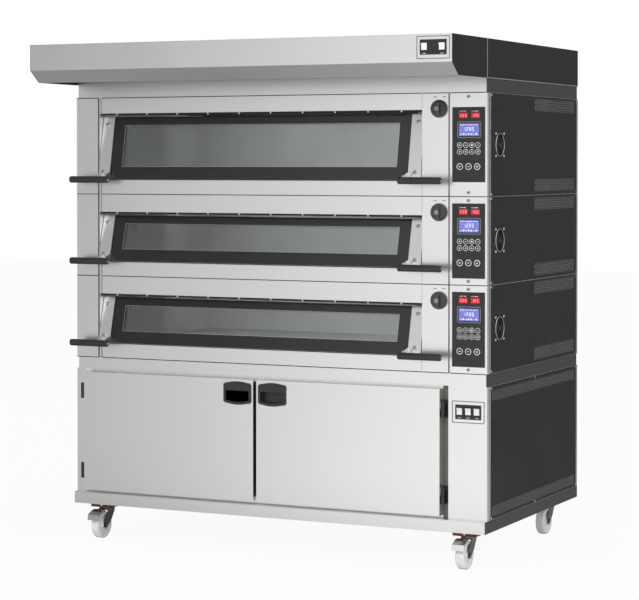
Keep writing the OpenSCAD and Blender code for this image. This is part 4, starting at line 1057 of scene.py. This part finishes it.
class OVEN_OT_door_seals(OvenOperator, bpy.types.Operator):
    """Seals beside the chamber mouths, a black gasket over each door that is also painted shade of the gap
    above it, and the bezel of each chamber's lamp
    """

    bl_idname = "oven.door_seals"
    bl_label = "Door seals and lamp bezels"

    def execute(self, context):
        for deck in DECK.values():
            seals = []
            for x in (116, 1401):
                left = LEFT + x * MM
                bar = block("seal", (left - 4 * MM, 18.7 * MM, 4 * MM - deck.length),
                            (left + 4 * MM, 21.2 * MM, -2 * MM))
                seals.append(soften(bar, 0.9 * MM, 3))
            lintel = deck.top + 14 * MM
            # A black rubber gasket under the lintel, whose black also stands in for the shade in the gap
            # above the door: painted shade.
            gasket = block(f"lintel_gasket_and_shade_{deck.number}", spot(104, 3, lintel / MM - 7),
                           spot(1413, 8, lintel / MM - 0.5))
            finished(soften(gasket, 1.2 * MM, 3), "seal", "oven")
            model = cross_screw("head", Vector((0, 0, 0)), "y", -1, 3.6)
            heads = [copied(model, "head", spot(175 + 129 * place, 3.2, lintel / MM - 4))
                     for place in range(10)]
            bpy.data.objects.remove(model)
            finished(joined(f"lintel_screws_{deck.number}", heads), "screw", "oven")
            seal = joined(f"door_seal_{deck.number}", seals)
            seal.data.transform(deck.door_matrix)
            finished(seal, "seal", "oven")
            centre = Vector((LEFT + 141.5 * MM, FRONT + 193 * MM, lintel - 60 * MM))
            bezel = torus(f"lamp_bezel_{deck.number}", centre, "x", 17, 3, 40, 10)
            with editing(bezel, "VERT", lambda corner: True):
                bpy.ops.transform.resize(value=(0.7, 1, 1), center_override=centre)
            finished(bezel, "screw", "oven")
        return {"FINISHED"}


# ---- Screws, louvres, guards and caster fittings


def cross_screw(name, centre, axis, outward, radius):
    """A domed head with a cross recess; outward is +1 or -1 along the axis, radius in millimetres."""
    direction = Vector({"x": (1, 0, 0), "y": (0, 1, 0)}[axis]) * outward
    height = 0.45 * radius * MM
    head = round_bar(name, centre + direction * height / 2, axis, radius * MM, height, 20)
    with editing(head, "FACE", lambda face: face.normal.dot(direction) > 0.9):
        bpy.ops.mesh.inset(thickness=0.35 * radius * MM)
        bpy.ops.transform.translate(value=direction * 0.25 * radius * MM)
        bpy.ops.mesh.inset(thickness=0.25 * radius * MM)
        bpy.ops.mesh.extrude_region_move(TRANSFORM_OT_translate={"value": direction * -0.4 * radius * MM})
        bpy.ops.transform.resize(value=(0.6, 0.6, 0.6), center_override=centre)
    return head


class OVEN_OT_rear(OvenOperator, bpy.types.Operator):
    """Pressed louvres and screws on the rear panels"""

    bl_idname = "oven.rear"
    bl_label = "Rear panels"

    def execute(self, context):
        louvre = block("louvre", (-0.055, 0, -0.006), (0.055, 0.006, 0.006))
        with editing(louvre, "FACE", lambda face: face.normal.z < -0.9 or face.normal.y < -0.9):
            bpy.ops.mesh.delete(type="FACE")
        with editing(louvre, "EDGE", lambda a, b: min(a.z, b.z) > 0.005 and min(a.y, b.y) > 0.005):
            bpy.ops.transform.translate(value=(0, -4.5 * MM, 0))
        modify(louvre, "BEVEL", width=2 * MM, segments=3, limit_method="ANGLE", angle_limit=math.radians(20))
        modify(louvre, "SOLIDIFY", thickness=0.8 * MM, offset=-1)
        louvres = []
        for deck in DECK.values():
            for row in range(2):
                for column in range(8):
                    at = Vector((-0.56 + 0.16 * column, BACK - 0.2 * MM, deck.high - (45 + 30 * row) * MM))
                    louvres.append(copied(louvre, "louvre", at))
        bpy.data.objects.remove(louvre)
        finished(joined("rear_louvres", louvres), "paint", "oven")
        model = cross_screw("screw", Vector((0, 0, 0)), "y", 1, 4)
        screws = []
        edges = [(deck.low, deck.high) for deck in DECK.values()] + [(BASE_TOP, CABINET_TOP)]
        for low, high in edges:
            for column in range(7):
                for z in (low + 12 * MM, high - 12 * MM):
                    x = LEFT + (45 + 261.6 * column) * MM
                    screws.append(copied(model, "screw", (x, BACK - 0.1 * MM, z)))
        bpy.data.objects.remove(model)
        finished(joined("rear_screws", screws), "screw", "oven")
        return {"FINISHED"}


class OVEN_OT_fan_guards(OvenOperator, bpy.types.Operator):
    """Bright wire rim and corner lugs of each fan guard"""

    bl_idname = "oven.fan_guards"
    bl_label = "Fan guards"

    def execute(self, context):
        for deck in DECK.values():
            centre = Vector((RIGHT + 1.6 * MM, FRONT + 117 * MM, deck.middle))
            parts = [torus("rim", centre, "x", 40, 1.2, 64, 8)]
            for turn in range(4):
                lug = torus("lug", centre + Vector((0, 39, 39)) * MM, "x", 4.2, 1.0, 20, 6)
                about = (Matrix.Translation(centre) @ Matrix.Rotation(turn * math.pi / 2, 4, "X")
                         @ Matrix.Translation(-centre))
                lug.data.transform(about)
                head = cross_screw("head", centre + Vector((-1.0, 39, 39)) * MM, "x", 1, 3.2)
                head.data.transform(about)
                parts += [lug, head]
            finished(joined(f"fan_guard_rim_{deck.number}", parts), "zinc", "oven")
        return {"FINISHED"}


class OVEN_OT_caster_fittings(OvenOperator, bpy.types.Operator):
    """Bolts in the caster spacers and the bearing rings in the wheels"""

    bl_idname = "oven.caster_fittings"
    bl_label = "Caster fittings"

    def execute(self, context):
        bolts = []
        for caster in CASTERS:
            low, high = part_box(f"caster_wheel_{caster}")
            axle = (low + high) / 2
            rings = []
            for side in (-1, 1):
                at = axle + Vector((side * 11.2 * MM, 0, 0))
                for radius, thick in ((21, 2.4), (31, 1.2)):
                    rings.append(torus("ring", at, "x", radius, thick, 48, 8))
            finished(joined(f"wheel_rings_{caster}", rings), "white_nylon", f"caster_roll_{caster}")
            front = Vector((axle.x, axle.y - 2 * MM, BASE_LOW - 8.5 * MM))
            bolts.append(cross_screw("bolt", front, "y", -1, 5.5))
        finished(joined("spacer_bolts", bolts), "screw", "oven")
        return {"FINISHED"}


class OVEN_OT_front_screws(OvenOperator, bpy.types.Operator):
    """Cross-recessed screws on the control plates and domed ones on the doors' brackets"""

    bl_idname = "oven.front_screws"
    bl_label = "Front screws"

    def execute(self, context):
        heads = []
        for deck in DECK.values():
            for z in (deck.low + 14 * MM, deck.high - 14 * MM):
                at = spot(CTRL_X, -1.4, 0) + Vector((0, 0, z))
                heads.append(cross_screw("head", at, "y", -1, 5.2))
        finished(joined("control_plate_screws", heads), "head", "oven")
        for deck in DECK.values():
            domes = []
            for x in (deck.door_left + 21 * MM, deck.door_right - 21 * MM):
                for z in (-28 * MM, 25 * MM - deck.length):
                    domes.append(cross_screw("dome", Vector((x, -3.4 * MM, z)), "y", -1, 6.8))
            domes = joined(f"bracket_screws_{deck.number}", domes)
            domes.data.transform(deck.door_matrix)
            finished(domes, "head", deck.body)
        return {"FINISHED"}


CLASSES = [OvenFinishes, OvenStage, OVEN_OT_stage, OVEN_OT_finishes, OVEN_OT_perforated_bands, OVEN_OT_knobs,
           OVEN_OT_keypads, OVEN_OT_switches, OVEN_OT_rounded_parts, OVEN_OT_seams, OVEN_OT_door_panes,
           OVEN_OT_door_seals, OVEN_OT_rear, OVEN_OT_fan_guards, OVEN_OT_caster_fittings,
           OVEN_OT_front_screws]
STEPS = [kind for kind in CLASSES if hasattr(kind, "bl_idname")]


class OVEN_PT_panel(bpy.types.Panel):
    """Lists the operators, the colours and the stage's sizes"""

    bl_idname = "OVEN_PT_panel"
    bl_label = "Deck oven"
    bl_space_type = "VIEW_3D"
    bl_region_type = "UI"
    bl_category = "Oven"

    def draw(self, context):
        for group in (context.scene.oven_finishes, context.scene.oven_stage):
            for key in group.__annotations__:
                self.layout.prop(group, key)
        for step in STEPS:
            self.layout.operator(step.bl_idname)


def register():
    for kind in [*CLASSES, OVEN_PT_panel]:
        bpy.utils.register_class(kind)
    bpy.types.Scene.oven_finishes = bpy.props.PointerProperty(type=OvenFinishes)
    bpy.types.Scene.oven_stage = bpy.props.PointerProperty(type=OvenStage)


def unregister():
    del bpy.types.Scene.oven_finishes
    del bpy.types.Scene.oven_stage
    for kind in [OVEN_PT_panel, *reversed(CLASSES)]:
        bpy.utils.unregister_class(kind)


def main():
    register()
    for step in STEPS:
        group, action = step.bl_idname.split(".")
        getattr(getattr(bpy.ops, group), action)()


if __name__ == "__main__":
    main()
